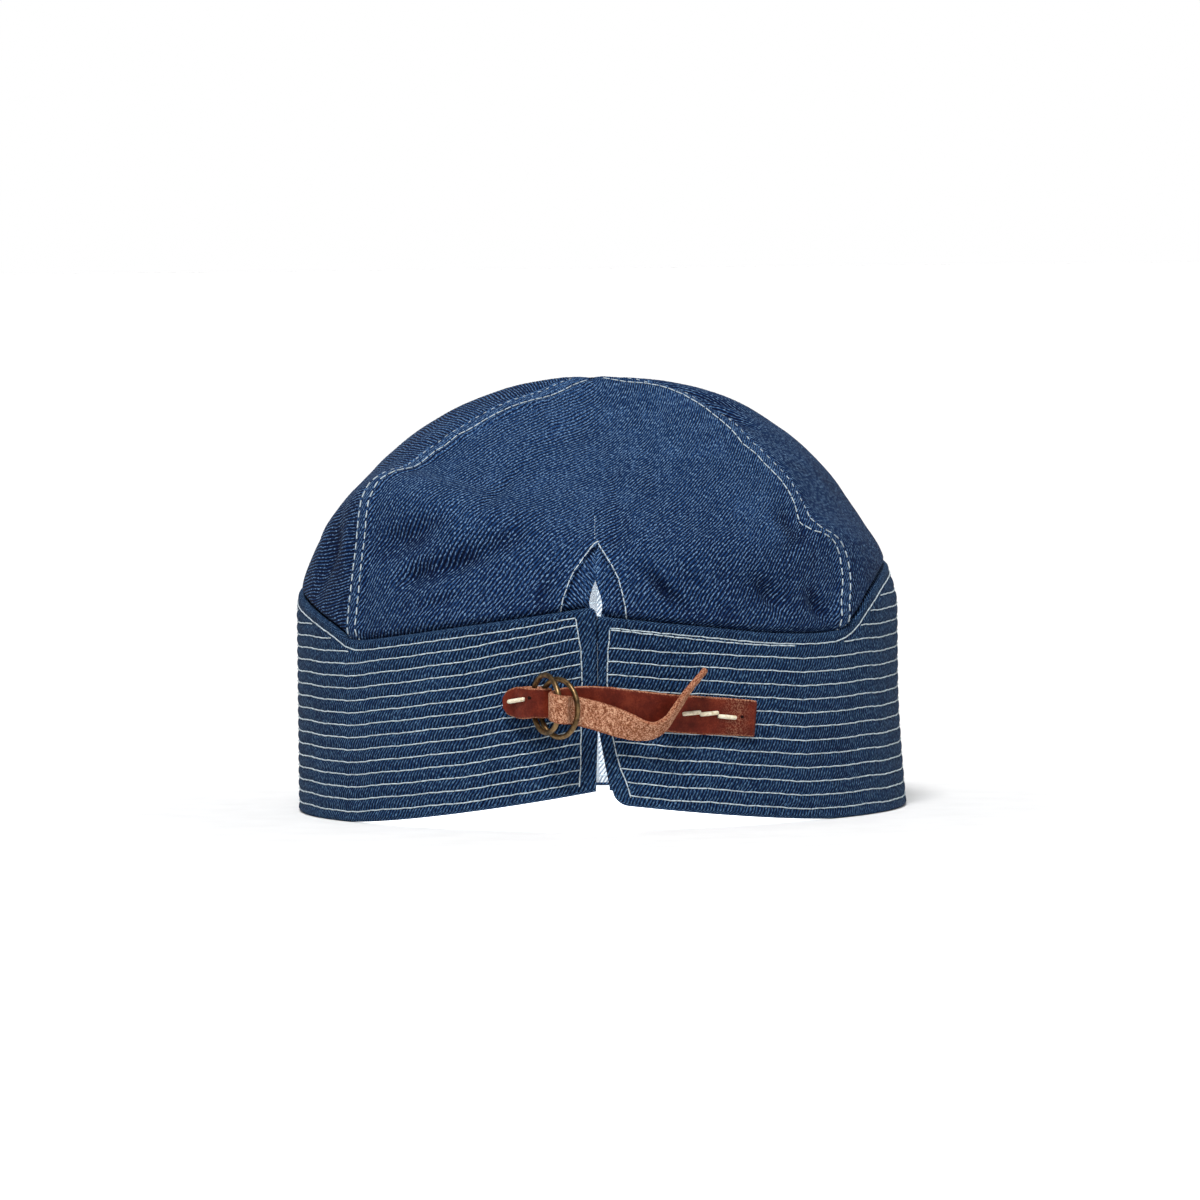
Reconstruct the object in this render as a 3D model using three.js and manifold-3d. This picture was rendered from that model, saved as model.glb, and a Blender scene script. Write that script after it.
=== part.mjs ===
// A soft denim work cap, seen from behind in its usual pose: a crown of four sewn panels, a tall
// stitched band that is split at the centre back, an arched vent above the split, and a leather
// strap that is cinched through two brass rings. Millimetres, +Z up, the back of the cap faces -Y.

import * as THREE from 'three';
import { mergeVertices } from 'three/addons/utils/BufferGeometryUtils.js';
import Module from 'manifold-3d';

const wasm = await Module();
wasm.setup();

// Driving sizes of the head opening and the crown
const HALF_WIDTH = 90;
const HALF_LENGTH = 99;
const CROWN_BASE = 60.5;
const CROWN_TOP = 128.9;
const FRONT_BASE_LIFT = 8;
const FRONT_LIFT_SPREAD = 0.85;
const SIDE_ROUNDNESS = 2.5;
const TOP_ROUNDNESS = 1.42;
const RIGHT_LEAN = 1.8;
const RIGHT_LEAN_FADE = 0.35;
const SKIRT_STEP = 60;
const PEAK_START = 0.0026;

// Cloth, leather and the gaps between pieces
const CROWN_CLOTH = 1.2;
const BAND_CLOTH = 2.4;
const LEATHER = 1.4;
const GAP = 0.3;
const SEAM_GAP = 0.4;

// How the crown is tucked into the band
const TUCK_IN = BAND_CLOTH + 2 * GAP;
const INSET = 0.4;
const PUFF_START = 3;
const PUFF_HEIGHT = 6;
const PUFF_CURVE = 0.6;
const HEM_DEPTH = 9;

// The split at the centre back, and the flare of the hem on the right
const LEFT_HEM_RISE = 11;
const LEFT_HEM_REACH = 56;
const LEFT_HEM_CURVE = 1.45;
const RIGHT_HEM_RISE = 7.6;
const RIGHT_HEM_REACH = 50;
const RIGHT_HEM_CURVE = 1.35;
const SPLIT_TOP = 30;
const SPLIT_END_GAP = 0.4;
const LEFT_EDGE_LEAN = 0.9;
const RIGHT_EDGE_LEAN = 3.9;
const RIGHT_EDGE_CURVE = 1.15;
const RIGHT_CORNER_START = 2.6;
const RIGHT_CORNER_RISE = 4;
const RIGHT_CORNER_REACH = 3;
const LEAN_REACH = 14;
const FLARE = 2.2;
const FLARE_TOP = 36;
const FLARE_CURVE = 1.4;

// The arched vent and its teardrop gap
const ARCH_TOP = 82.4;
const ARCH_SPRING = 68;
const ARCH_LEFT = 8.8;
const ARCH_RIGHT = 7.1;
const ARCH_LEFT_BULGE = { in: 1.4, up: 7 };
const ARCH_RIGHT_BULGE = { in: 1.2, up: 8 };
const ARCH_FOOT_SPREAD = 1;
const SLIT_TOP = 81;
const CUT_FOOT = 30.5;
const CUT_DEPTH = 60;
const FACING_REACH = 10;
const SLIT_WIDTH = 0.5;
const DROP_TOP = 70.6;
const DROP_WIDEST = 65.3;
const DROP_FOOT = 60.6;
const DROP_LEFT = 2.3;
const DROP_RIGHT = 1.3;

// The rings and the leather
const RING_RADIUS = 8.35;
const RING_WIRE = 0.78;
const RING_BACK = { hinge: -18.9, height: 36.9, tilt: 62 };
const RING_FRONT = { hinge: -16.8, height: 35.6, tilt: 49 };
const HINGE_OUT = 3.1;
const TAB_HEIGHT = 36.9;

// Height of the band's upper edge round the cap; 0 degrees is the centre back, right is positive
const BAND_TOP = [
  { angle: -180, height: 75 },
  { angle: -125, height: 73.5 },
  { angle: -90, height: 66 },
  { angle: -74, height: 62.6 },
  { angle: -61, height: 57.8 },
  { angle: -54, height: 54.1 },
  { angle: -48, height: 54.1 },
  { angle: -22, height: 59.4 },
  { angle: 0, height: 64.4 },
];
const BAND_TOP_RIGHT = [
  { angle: 0, height: 61.6 },
  { angle: 20, height: 58 },
  { angle: 36, height: 55.3 },
  { angle: 51, height: 54.9 },
  { angle: 57, height: 57.6 },
  { angle: 64, height: 64.2 },
  { angle: 74, height: 69.8 },
  { angle: 90, height: 72.8 },
  { angle: 125, height: 74.6 },
  { angle: 180, height: 75 },
];

// How far the crown sags below a round dome along each section, by share of the way out from its peak
const SAG = [
  { reach: 0, back: 0, leftSeam: 0, rightSeam: 0, side: 0, frontSeam: 0, front: 0 },
  { reach: 0.2, back: 8.6, leftSeam: 4.4, rightSeam: 1.4, side: 0.3, frontSeam: 1.4, front: 2.4 },
  { reach: 0.4, back: 14.4, leftSeam: 4.8, rightSeam: 2.9, side: 0.7, frontSeam: 1.8, front: 3.8 },
  { reach: 0.6, back: 15.2, leftSeam: 3.5, rightSeam: 5.2, side: 1.2, frontSeam: 1.4, front: 4 },
  { reach: 0.75, back: 11.2, leftSeam: -0.6, rightSeam: 4.4, side: 1.5, frontSeam: 0.2, front: 2.8 },
  { reach: 0.86, back: 4.9, leftSeam: -10.3, rightSeam: 1.3, side: 1.5, frontSeam: -1.6, front: 1.2 },
  { reach: 0.925, back: -0.2, leftSeam: -14, rightSeam: -4.2, side: 0.7, frontSeam: -2.2, front: 0.2 },
  { reach: 0.96, back: -1.4, leftSeam: -6.4, rightSeam: -6.8, side: 0, frontSeam: -1.4, front: 0 },
  { reach: 1, back: 0, leftSeam: 0, rightSeam: 0, side: 0, frontSeam: 0, front: 0 },
];
const SAG_SECTIONS = [
  { angle: -180, column: 'front' },
  { angle: -128, column: 'frontSeam' },
  { angle: -90, column: 'side' },
  { angle: -52, column: 'leftSeam' },
  { angle: 0, column: 'back' },
  { angle: 52, column: 'rightSeam' },
  { angle: 90, column: 'side' },
  { angle: 128, column: 'frontSeam' },
  { angle: 180, column: 'front' },
];

// Where the crown's seams run, as angles by share of the way out from the peak
const SEAMS = [
  { reach: 0, left: -52, right: 52, frontLeft: -128, frontRight: 128 },
  { reach: 0.5, left: -52, right: 52, frontLeft: -128, frontRight: 128 },
  { reach: 0.6, left: -52, right: 51, frontLeft: -128, frontRight: 128 },
  { reach: 0.75, left: -52.2, right: 52, frontLeft: -128, frontRight: 128 },
  { reach: 0.84, left: -52.5, right: 50.2, frontLeft: -128, frontRight: 128 },
  { reach: 0.91, left: -53.2, right: 48.4, frontLeft: -128, frontRight: 128 },
  { reach: 0.94, left: -52.6, right: 49.6, frontLeft: -128, frontRight: 128 },
  { reach: 0.965, left: -52, right: 53.8, frontLeft: -128, frontRight: 128 },
  { reach: 0.985, left: -51.6, right: 54.2, frontLeft: -128, frontRight: 128 },
  { reach: 1, left: -51.6, right: 52.2, frontLeft: -128, frontRight: 128 },
];

// Soft dents: centre by angle and height, half lengths along and across, lean from level, and depth
const DENTS = [
  { angle: -40, height: 84, along: 13, across: 4, lean: 25, depth: 1.8 },
  { angle: -34, height: 74, along: 11, across: 3.5, lean: 12, depth: 1.6 },
  { angle: -25, height: 80, along: 10, across: 3.5, lean: 20, depth: 1.2 },
  { angle: -68, height: 78, along: 12, across: 6, lean: 75, depth: 2 },
  { angle: 46, height: 87, along: 7, across: 3.5, lean: 20, depth: 1.8 },
  { angle: 33, height: 68, along: 9, across: 3.5, lean: -35, depth: 1.6 },
  { angle: 20, height: 69, along: 10, across: 3, lean: -40, depth: 1.4 },
  { angle: 46, height: 63, along: 6, across: 3, lean: -50, depth: 1.4 },
  { angle: 62, height: 119, along: 9, across: 4, lean: -20, depth: 2 },
  { angle: 118, height: 92, along: 16, across: 5, lean: 18, depth: 1.6 },
  { angle: -122, height: 96, along: 15, across: 5, lean: -22, depth: 1.6 },
  { angle: 165, height: 90, along: 14, across: 5, lean: 8, depth: 1.4 },
];

// The strap's centre line from its sewn end to its free tip: across and up in the back view, out from
// the band, the width there, and how far its upper edge is turned towards the viewer
const STRAP = [
  { across: 45.4, up: 30.9, out: 1.15, width: 10.5, turn: 0 },
  { across: 38, up: 31.7, out: 1.1, width: 10.9, turn: 0 },
  { across: 29, up: 32.5, out: 1.1, width: 11.1, turn: 0 },
  { across: 20, up: 33.5, out: 1.1, width: 10.9, turn: 0 },
  { across: 11, up: 34.9, out: 1.1, width: 10.4, turn: 0 },
  { across: 3, up: 36.3, out: 1.1, width: 9.9, turn: 0 },
  { across: -4, up: 36.9, out: 1.3, width: 9.4, turn: 0 },
  { across: -9.2, up: 36.8, out: 2.2, width: 8.9, turn: 0 },
  { across: -11.6, up: 36.7, out: 4.6, width: 8.6, turn: 0 },
  { across: -12.9, up: 36.6, out: 9.4, width: 8.4, turn: 0 },
  { across: -13.5, up: 36.5, out: 14.6, width: 8.3, turn: 0 },
  { across: -13.2, up: 36.4, out: 18.2, width: 8.2, turn: 0 },
  { across: -11.3, up: 35.9, out: 20, width: 8.2, turn: 0 },
  { across: -9.4, up: 35.6, out: 18.8, width: 8.2, turn: 0 },
  { across: -9, up: 35.4, out: 15.8, width: 8.1, turn: 0 },
  { across: -8.1, up: 35.2, out: 12.4, width: 8.1, turn: 0 },
  { across: -5.2, up: 34.6, out: 9.6, width: 8.3, turn: 0 },
  { across: -0.8, up: 33.4, out: 8, width: 8.3, turn: 0 },
  { across: 3, up: 32.1, out: 6.6, width: 8.3, turn: 4 },
  { across: 8, up: 30.2, out: 5.4, width: 8, turn: 14 },
  { across: 12.5, up: 28.8, out: 5.6, width: 7.4, turn: 32 },
  { across: 16.4, up: 28.9, out: 6.3, width: 6.8, turn: 50 },
  { across: 19.6, up: 31, out: 6.8, width: 6.2, turn: 60 },
  { across: 22.7, up: 35.2, out: 7, width: 5.8, turn: 64 },
  { across: 26.2, up: 40.2, out: 7.3, width: 5, turn: 66 },
  { across: 31.2, up: 46, out: 7.8, width: 3.4, turn: 66 },
];

// Path of the folded tab in plan, from its sewn lower layer, round the rings and back to its outer end
const TAB = [
  { across: -25.4, out: 1.1, width: 7.4 },
  { across: -21, out: 1.1, width: 9.2 },
  { across: -17, out: 1.1, width: 9.2 },
  { across: -14.7, out: 1.9, width: 8.6 },
  { across: -13.8, out: 4, width: 8.6 },
  { across: -14.2, out: 6, width: 8.6 },
  { across: -16, out: 6.9, width: 8.6 },
  { across: -18.6, out: 6.8, width: 8.6 },
  { across: -21.4, out: 5, width: 9.2 },
  { across: -23.8, out: 3.1, width: 8.8 },
  { across: -26.2, out: 2.8, width: 6.6 },
  { across: -27.3, out: 2.8, width: 3.6 },
];

// How finely the pieces are divided
const BAND_COLUMNS = 92;
const BAND_ROWS = 7;
const BAND_ROW_CROWDING = 1.8;
const END_CROWDING = 0.8;
const CROWN_ROWS = 17;
const FACING_ROWS = 8;
const FACING_COLUMNS = 10;
const WIDE_PANEL_COLUMNS = 18;
const FRONT_PANEL_COLUMNS = 14;
const SIDE_PANEL_COLUMNS = 15;
const STRAP_STEPS = 92;
const TAB_STEPS = 40;
const CUT_STEPS = 8;
const RING_SEGMENTS = 32;
const RING_SIDES = 10;

// Steps for finding the direction that a surface faces
const NEAR = 0.004;
const NEAR_ANGLE = 0.5;

const rad = THREE.MathUtils.degToRad;

// Smooth value of one named column of a table, between its rows
function tableValue(rows, key, column, at) {
  const last = rows.length - 1;
  if (at <= rows[0][key]) return rows[0][column] ?? 0;
  if (at >= rows[last][key]) return rows[last][column] ?? 0;
  let i = 0;
  while (rows[i + 1][key] < at) i += 1;
  const value = (k) => rows[k][column] ?? 0;
  const slope = (k) => {
    const a = Math.max(0, k - 1);
    const b = Math.min(last, k + 1);
    return (value(b) - value(a)) / (rows[b][key] - rows[a][key]);
  };
  const width = rows[i + 1][key] - rows[i][key];
  const u = (at - rows[i][key]) / width;
  const rise = u * u * (3 - 2 * u);
  const start = u * (1 - u) * (1 - u) * width * slope(i);
  const end = u * u * (u - 1) * width * slope(i + 1);
  return value(i) + (value(i + 1) - value(i)) * rise + start + end;
}

// Height of the hem, and of the band's upper edge, at an angle from the centre back
function hemHeight(angle) {
  if (angle < 0) {
    const share = Math.max(0, 1 + angle / LEFT_HEM_REACH);
    return LEFT_HEM_RISE * share ** LEFT_HEM_CURVE;
  }
  const share = Math.max(0, 1 - angle / RIGHT_HEM_REACH);
  const corner = THREE.MathUtils.clamp(1 - (angle - RIGHT_CORNER_START) / RIGHT_CORNER_REACH, 0, 1);
  const rounding = 1 - Math.sqrt(1 - corner * corner);
  return RIGHT_HEM_RISE * share ** RIGHT_HEM_CURVE + RIGHT_CORNER_RISE * rounding;
}

function bandTop(angle) {
  const rows = angle < 0 ? BAND_TOP : BAND_TOP_RIGHT;
  return tableValue(rows, 'angle', 'height', angle);
}

// A point of the band: height above the hem's plane and distance inside the outer face
function bandPoint(angle, height, inside) {
  const low = THREE.MathUtils.clamp((FLARE_TOP - height) / FLARE_TOP, 0, 1);
  const flare = FLARE * low ** FLARE_CURVE * Math.max(0, Math.sin(rad(angle))) ** 2;
  const reach = domeReach(angle, height);
  const x = ((HALF_WIDTH + flare) * reach - inside) * Math.sin(rad(angle));
  const y = -(HALF_LENGTH * reach - inside) * Math.cos(rad(angle));
  return new THREE.Vector3(x, y, height);
}

// Sag below the round dome at any angle, between the named sections
function sag(angle, reach) {
  const turned = THREE.MathUtils.euclideanModulo(angle + 180, 360) - 180;
  const sections = SAG_SECTIONS.map((section) => ({
    angle: section.angle,
    sag: tableValue(SAG, 'reach', section.column, reach),
  }));
  return tableValue(sections, 'angle', 'sag', turned);
}

// Height at which the dome starts, which lifts towards the front with the band
function baseHeight(angle) {
  const forward = THREE.MathUtils.smoothstep(-Math.cos(rad(angle)), 0, FRONT_LIFT_SPREAD);
  return CROWN_BASE + FRONT_BASE_LIFT * forward;
}

// Share of the full width that the round dome still has at a height
function domeReach(angle, height) {
  const base = baseHeight(angle);
  const rise = THREE.MathUtils.clamp((height - base) / (CROWN_TOP - base), 0, 1);
  return (1 - rise ** TOP_ROUNDNESS) ** (1 / SIDE_ROUNDNESS);
}

// Depth of the dents at a point of the crown
function dentDepth(angle, height) {
  let depth = 0;
  for (const dent of DENTS) {
    const across = (angle - dent.angle) * rad(1) * HALF_WIDTH;
    const up = height - dent.height;
    const c = Math.cos(rad(dent.lean));
    const s = Math.sin(rad(dent.lean));
    const u = (across * c + up * s) / dent.along;
    const v = (up * c - across * s) / dent.across;
    depth += dent.depth * Math.exp(-u * u - v * v);
  }
  return depth;
}

// Outer surface of the crown: along is 0 at the peak, 1 where the dome meets the head opening
function crownSkin(angle, along) {
  const turn = (Math.min(along, 1) * Math.PI) / 2;
  const reach = Math.sin(turn) ** (2 / SIDE_ROUNDNESS);
  const rise = Math.max(0, Math.cos(turn)) ** (2 / TOP_ROUNDNESS);
  const skirt = Math.max(0, along - 1) * SKIRT_STEP;
  const base = baseHeight(angle);
  const height = base + (CROWN_TOP - base) * rise - sag(angle, reach) - skirt;
  const above = THREE.MathUtils.smoothstep(height - bandTop(angle), PUFF_START, PUFF_HEIGHT);
  const free = above ** PUFF_CURVE;
  const out = (half) => {
    const open = (half - INSET) * reach;
    const tucked = Math.min(open, half * domeReach(angle, height) - TUCK_IN);
    return tucked + (open - tucked) * free;
  };
  const lean = RIGHT_LEAN * rise ** 2 * THREE.MathUtils.smoothstep(reach, 0, RIGHT_LEAN_FADE);
  const x = out(HALF_WIDTH) * Math.sin(rad(angle)) + lean;
  const y = -out(HALF_LENGTH) * Math.cos(rad(angle));
  return new THREE.Vector3(x, y, height);
}

// The same surface with its dents, moved in by a distance along its own normal
function crownPoint(angle, along, inset) {
  const point = crownSkin(angle, along);
  const out = crownSkin(angle, along + NEAR).sub(crownSkin(angle, Math.max(0, along - NEAR)));
  const round = crownSkin(angle + NEAR_ANGLE, along).sub(crownSkin(angle - NEAR_ANGLE, along));
  const normal = out.cross(round).normalize();
  const free = THREE.MathUtils.smoothstep(point.z - bandTop(angle), 0, PUFF_HEIGHT);
  const depth = inset + free * dentDepth(angle, point.z);
  return point.addScaledVector(normal, -depth);
}

// Share of the way down at which the crown's lower edge lies, tucked inside the band
function hemAlong(angle) {
  let low = 0.5;
  let high = 2;
  const target = bandTop(angle) - HEM_DEPTH;
  for (let i = 0; i < 40; i += 1) {
    const middle = (low + high) / 2;
    if (crownSkin(angle, middle).z > target) low = middle;
    else high = middle;
  }
  return low;
}

// A closed wall: a thin box whose corners are placed by a function of two shares and the face
function wall(columns, rows, place) {
  const box = new THREE.BoxGeometry(1, 1, 1, columns, rows, 1);
  box.deleteAttribute('normal');
  box.deleteAttribute('uv');
  const points = box.getAttribute('position');
  const corner = new THREE.Vector3();
  for (let i = 0; i < points.count; i += 1) {
    corner.fromBufferAttribute(points, i);
    const placed = place(corner.x + 0.5, corner.y + 0.5, corner.z > 0 ? 0 : 1);
    points.setXYZ(i, placed.x, placed.y, placed.z);
  }
  return facingOut(mergeVertices(box, 1e-4));
}

// Turns a closed geometry right side out where its volume comes out negative
function facingOut(geometry) {
  const points = geometry.getAttribute('position');
  const index = geometry.getIndex();
  const a = new THREE.Vector3();
  const b = new THREE.Vector3();
  const c = new THREE.Vector3();
  let volume = 0;
  for (let i = 0; i < index.count; i += 3) {
    a.fromBufferAttribute(points, index.getX(i));
    b.fromBufferAttribute(points, index.getX(i + 1));
    c.fromBufferAttribute(points, index.getX(i + 2));
    volume += a.dot(b.cross(c));
  }
  if (volume < 0) {
    for (let i = 0; i < index.count; i += 3) {
      const kept = index.getX(i + 1);
      index.setX(i + 1, index.getX(i + 2));
      index.setX(i + 2, kept);
    }
  }
  return geometry;
}

function toManifold(geometry) {
  return new wasm.Manifold(new wasm.Mesh({
    numProp: 3,
    vertProperties: new Float32Array(geometry.getAttribute('position').array),
    triVerts: new Uint32Array(geometry.getIndex().array),
  }));
}

function fromManifold(solid) {
  const mesh = solid.getMesh();
  const geometry = new THREE.BufferGeometry();
  geometry.setAttribute('position', new THREE.BufferAttribute(mesh.vertProperties, 3));
  geometry.setIndex(new THREE.BufferAttribute(mesh.triVerts, 1));
  return geometry;
}

function subtract(geometry, cutter) {
  return fromManifold(toManifold(geometry).subtract(toManifold(cutter)));
}

// A prism through the back wall of the cap, from an outline drawn in the back view
function backCutter(outline) {
  const options = { depth: CUT_DEPTH, bevelEnabled: false, curveSegments: CUT_STEPS };
  const prism = new THREE.ExtrudeGeometry(outline, options);
  prism.deleteAttribute('normal');
  prism.deleteAttribute('uv');
  prism.rotateX(Math.PI / 2);
  prism.translate(0, -CUT_DEPTH, 0);
  return facingOut(mergeVertices(prism, 1e-4));
}

function archOutline() {
  const outline = new THREE.Shape();
  outline.moveTo(-ARCH_LEFT - ARCH_FOOT_SPREAD, CUT_FOOT);
  outline.lineTo(-ARCH_LEFT, ARCH_SPRING);
  outline.quadraticCurveTo(
    -ARCH_LEFT + ARCH_LEFT_BULGE.in,
    ARCH_SPRING + ARCH_LEFT_BULGE.up,
    0,
    ARCH_TOP,
  );
  outline.quadraticCurveTo(
    ARCH_RIGHT - ARCH_RIGHT_BULGE.in,
    ARCH_SPRING + ARCH_RIGHT_BULGE.up,
    ARCH_RIGHT,
    ARCH_SPRING,
  );
  outline.lineTo(ARCH_RIGHT + ARCH_FOOT_SPREAD, CUT_FOOT);
  outline.closePath();
  return outline;
}

function teardropOutline() {
  const half = SLIT_WIDTH / 2;
  const outline = new THREE.Shape();
  outline.moveTo(-half, CUT_FOOT);
  outline.lineTo(-half, DROP_FOOT);
  outline.quadraticCurveTo(-DROP_LEFT, DROP_FOOT + 1.6, -DROP_LEFT, DROP_WIDEST);
  outline.lineTo(-half, DROP_TOP);
  outline.lineTo(-half, SLIT_TOP);
  outline.lineTo(half, SLIT_TOP);
  outline.lineTo(half, DROP_TOP);
  outline.quadraticCurveTo(DROP_RIGHT, DROP_WIDEST + 2, DROP_RIGHT, DROP_WIDEST - 1);
  outline.lineTo(half, DROP_FOOT);
  outline.lineTo(half, CUT_FOOT);
  outline.closePath();
  return outline;
}

// Share along the dome at a share of the way down a crown panel, which ends at its tucked hem
function panelAlong(angle, down) {
  return PEAK_START + (hemAlong(angle) - PEAK_START) * down;
}

// One crown panel between two seams, each seam edge moved in by half a gap
function crownPanel(columns, startSeam, endSeam) {
  return wall(columns, CROWN_ROWS, (across, down, inner) => {
    let angle = (startSeam(1) + endSeam(1)) / 2;
    let along = PEAK_START;
    for (let pass = 0; pass < 3; pass += 1) {
      along = panelAlong(angle, down);
      const reach = Math.sin((Math.min(1, along) * Math.PI) / 2) ** (2 / SIDE_ROUNDNESS);
      const edge = THREE.MathUtils.radToDeg(Math.asin(SEAM_GAP / 2 / (reach * HALF_WIDTH)));
      const start = startSeam(reach) + edge;
      const end = endSeam(reach) - edge;
      angle = start + (end - start) * across;
    }
    return crownPoint(angle, along, inner * CROWN_CLOTH);
  });
}

const seam = (column) => (reach) => tableValue(SEAMS, 'reach', column, reach);
const leftSeam = seam('left');
const rightSeam = seam('right');
const frontLeftSeam = seam('frontLeft');
const frontRightSeam = seam('frontRight');

function crownBack() {
  const panel = crownPanel(WIDE_PANEL_COLUMNS, leftSeam, rightSeam);
  return subtract(panel, backCutter(archOutline()));
}

function ventFacing() {
  const behind = CROWN_CLOTH + 2 * GAP;
  const above = 1 - FACING_ROWS / CROWN_ROWS;
  const panel = wall(FACING_COLUMNS, FACING_ROWS, (across, down, inner) => {
    const angle = FACING_REACH * (2 * across - 1);
    const along = panelAlong(angle, above + (1 - above) * down);
    return crownPoint(angle, along, behind + inner * CROWN_CLOTH);
  });
  return subtract(panel, backCutter(teardropOutline()));
}

// Height at a share of the way up the band
function bandHeight(angle, up) {
  const foot = hemHeight(angle);
  return foot + (bandTop(angle) - foot) * up;
}

// The band, from its left end round the front to its right end
function band() {
  return wall(BAND_COLUMNS, BAND_ROWS, (across, up, inner) => {
    const around = 360 * (across - (END_CROWDING * Math.sin(2 * Math.PI * across)) / (2 * Math.PI));
    const left = across < 0.5;
    const nominal = left ? -around : 360 - around;
    const near = 1 - THREE.MathUtils.smoothstep(Math.abs(nominal), 0, LEAN_REACH);
    const raised = 1 - (1 - up) ** BAND_ROW_CROWDING;
    const open = SPLIT_TOP - bandHeight(left ? Math.min(nominal, -0.01) : nominal, raised);
    const low = THREE.MathUtils.clamp(open / (SPLIT_TOP - RIGHT_HEM_RISE), 0, 1);
    const lean = left ? -LEFT_EDGE_LEAN * low : RIGHT_EDGE_LEAN * low ** RIGHT_EDGE_CURVE;
    const parting = (left ? -SPLIT_END_GAP : SPLIT_END_GAP) / 2;
    const angle = nominal + near * THREE.MathUtils.radToDeg((lean + parting) / HALF_WIDTH);
    return bandPoint(angle, bandHeight(angle, raised), inner * BAND_CLOTH);
  });
}

// A ring of round wire, hinged at its left side and standing out from the band
function ring(spec) {
  const section = [];
  for (let i = 0; i <= RING_SIDES; i += 1) {
    const a = (i / RING_SIDES) * 2 * Math.PI;
    section.push(new THREE.Vector2(RING_RADIUS + RING_WIRE * Math.cos(a), RING_WIRE * Math.sin(a)));
  }
  const geometry = new THREE.LatheGeometry(section, RING_SEGMENTS);
  geometry.deleteAttribute('normal');
  geometry.deleteAttribute('uv');
  geometry.translate(RING_RADIUS, 0, 0);
  geometry.rotateZ(rad(-spec.tilt));
  geometry.translate(spec.hinge, backFace(spec.hinge) - HINGE_OUT, spec.height);
  return facingOut(mergeVertices(geometry, 1e-4));
}

// The band's outer face in the back view
function backFace(across) {
  return -HALF_LENGTH * Math.sqrt(1 - (across / HALF_WIDTH) ** 2);
}

// A leather ribbon swept along a table of places, flat between its two faces
function ribbon(rows, steps, heightOf) {
  const places = rows.map((row) => {
    const y = backFace(row.across) - row.out;
    return new THREE.Vector3(row.across, y, heightOf(row));
  });
  const curve = new THREE.CatmullRomCurve3(places, false, 'centripetal');
  const share = rows.map((row, i) => ({ ...row, share: i / (rows.length - 1) }));
  const sections = [];
  for (let i = 0; i <= steps; i += 1) {
    const u = i / steps;
    const along = curve.getTangent(u);
    const turn = rad(tableValue(share, 'share', 'turn', u));
    const flat = new THREE.Vector3(0, 0, 1).addScaledVector(along, -along.z).normalize();
    const face = new THREE.Vector3().crossVectors(along, flat).normalize();
    const across = flat.clone().multiplyScalar(Math.cos(turn)).addScaledVector(face, Math.sin(turn));
    sections.push({
      centre: curve.getPoint(u),
      across,
      face: new THREE.Vector3().crossVectors(along, across).normalize(),
      half: tableValue(share, 'share', 'width', u) / 2,
    });
  }
  return wall(steps, 2, (u, v, inner) => {
    const s = sections[Math.round(u * steps)];
    const side = s.across.clone().multiplyScalar((v - 0.5) * 2 * s.half);
    return s.centre.clone().add(side).addScaledVector(s.face, (0.5 - inner) * LEATHER);
  });
}

const strap = () => ribbon(STRAP, STRAP_STEPS, (row) => row.up);
const ringTab = () => ribbon(TAB, TAB_STEPS, () => TAB_HEIGHT);

function material(colour, roughness, metalness) {
  return new THREE.MeshStandardMaterial({ color: colour, roughness, metalness });
}

const crownDenim = () => material(0x304b6f, 0.9, 0);
const bandDenim = () => material(0x2a3d58, 0.9, 0);
const leather = () => material(0x68291f, 0.55, 0);
const brass = () => material(0x8a6a3e, 0.4, 1);

const cap = new THREE.Group();

function addPiece(name, geometry, look) {
  const mesh = new THREE.Mesh(geometry, look);
  mesh.name = name;
  cap.add(mesh);
}

addPiece('crown_back', crownBack(), crownDenim());
addPiece('crown_right', crownPanel(SIDE_PANEL_COLUMNS, rightSeam, frontRightSeam), crownDenim());
addPiece('crown_front', crownPanel(
  FRONT_PANEL_COLUMNS,
  frontRightSeam,
  (reach) => frontLeftSeam(reach) + 360,
), crownDenim());
addPiece('crown_left', crownPanel(SIDE_PANEL_COLUMNS, frontLeftSeam, leftSeam), crownDenim());
addPiece('vent_facing', ventFacing(), crownDenim());
addPiece('band', band(), bandDenim());
addPiece('ring_tab', ringTab(), leather());
addPiece('ring_back', ring(RING_BACK), brass());
addPiece('ring_front', ring(RING_FRONT), brass());
addPiece('strap', strap(), leather());

// The origin is the centre of the whole cap's footprint, on the surface that it rests on
const bounds = new THREE.Box3().setFromObject(cap);
const footprint = bounds.getCenter(new THREE.Vector3());
cap.position.set(-footprint.x, -footprint.y, -bounds.min.z);
cap.updateMatrixWorld(true);

export default cap;
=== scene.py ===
"""Looks of a soft denim work cap that rests on its rim, seen from behind.

The cap is four sewn crown panels, a tall quilted band that is split at the centre back, an arched vent
above the split, and a leather strap cinched through two brass rings. Its form is worked out in
millimetres on the cap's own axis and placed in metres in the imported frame.
"""

import logging
import math
from dataclasses import dataclass, field
from enum import Enum
from functools import partial
from typing import Callable, Sequence

import bmesh
import bpy
import numpy as np
from mathutils import Matrix, Vector, noise


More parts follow.
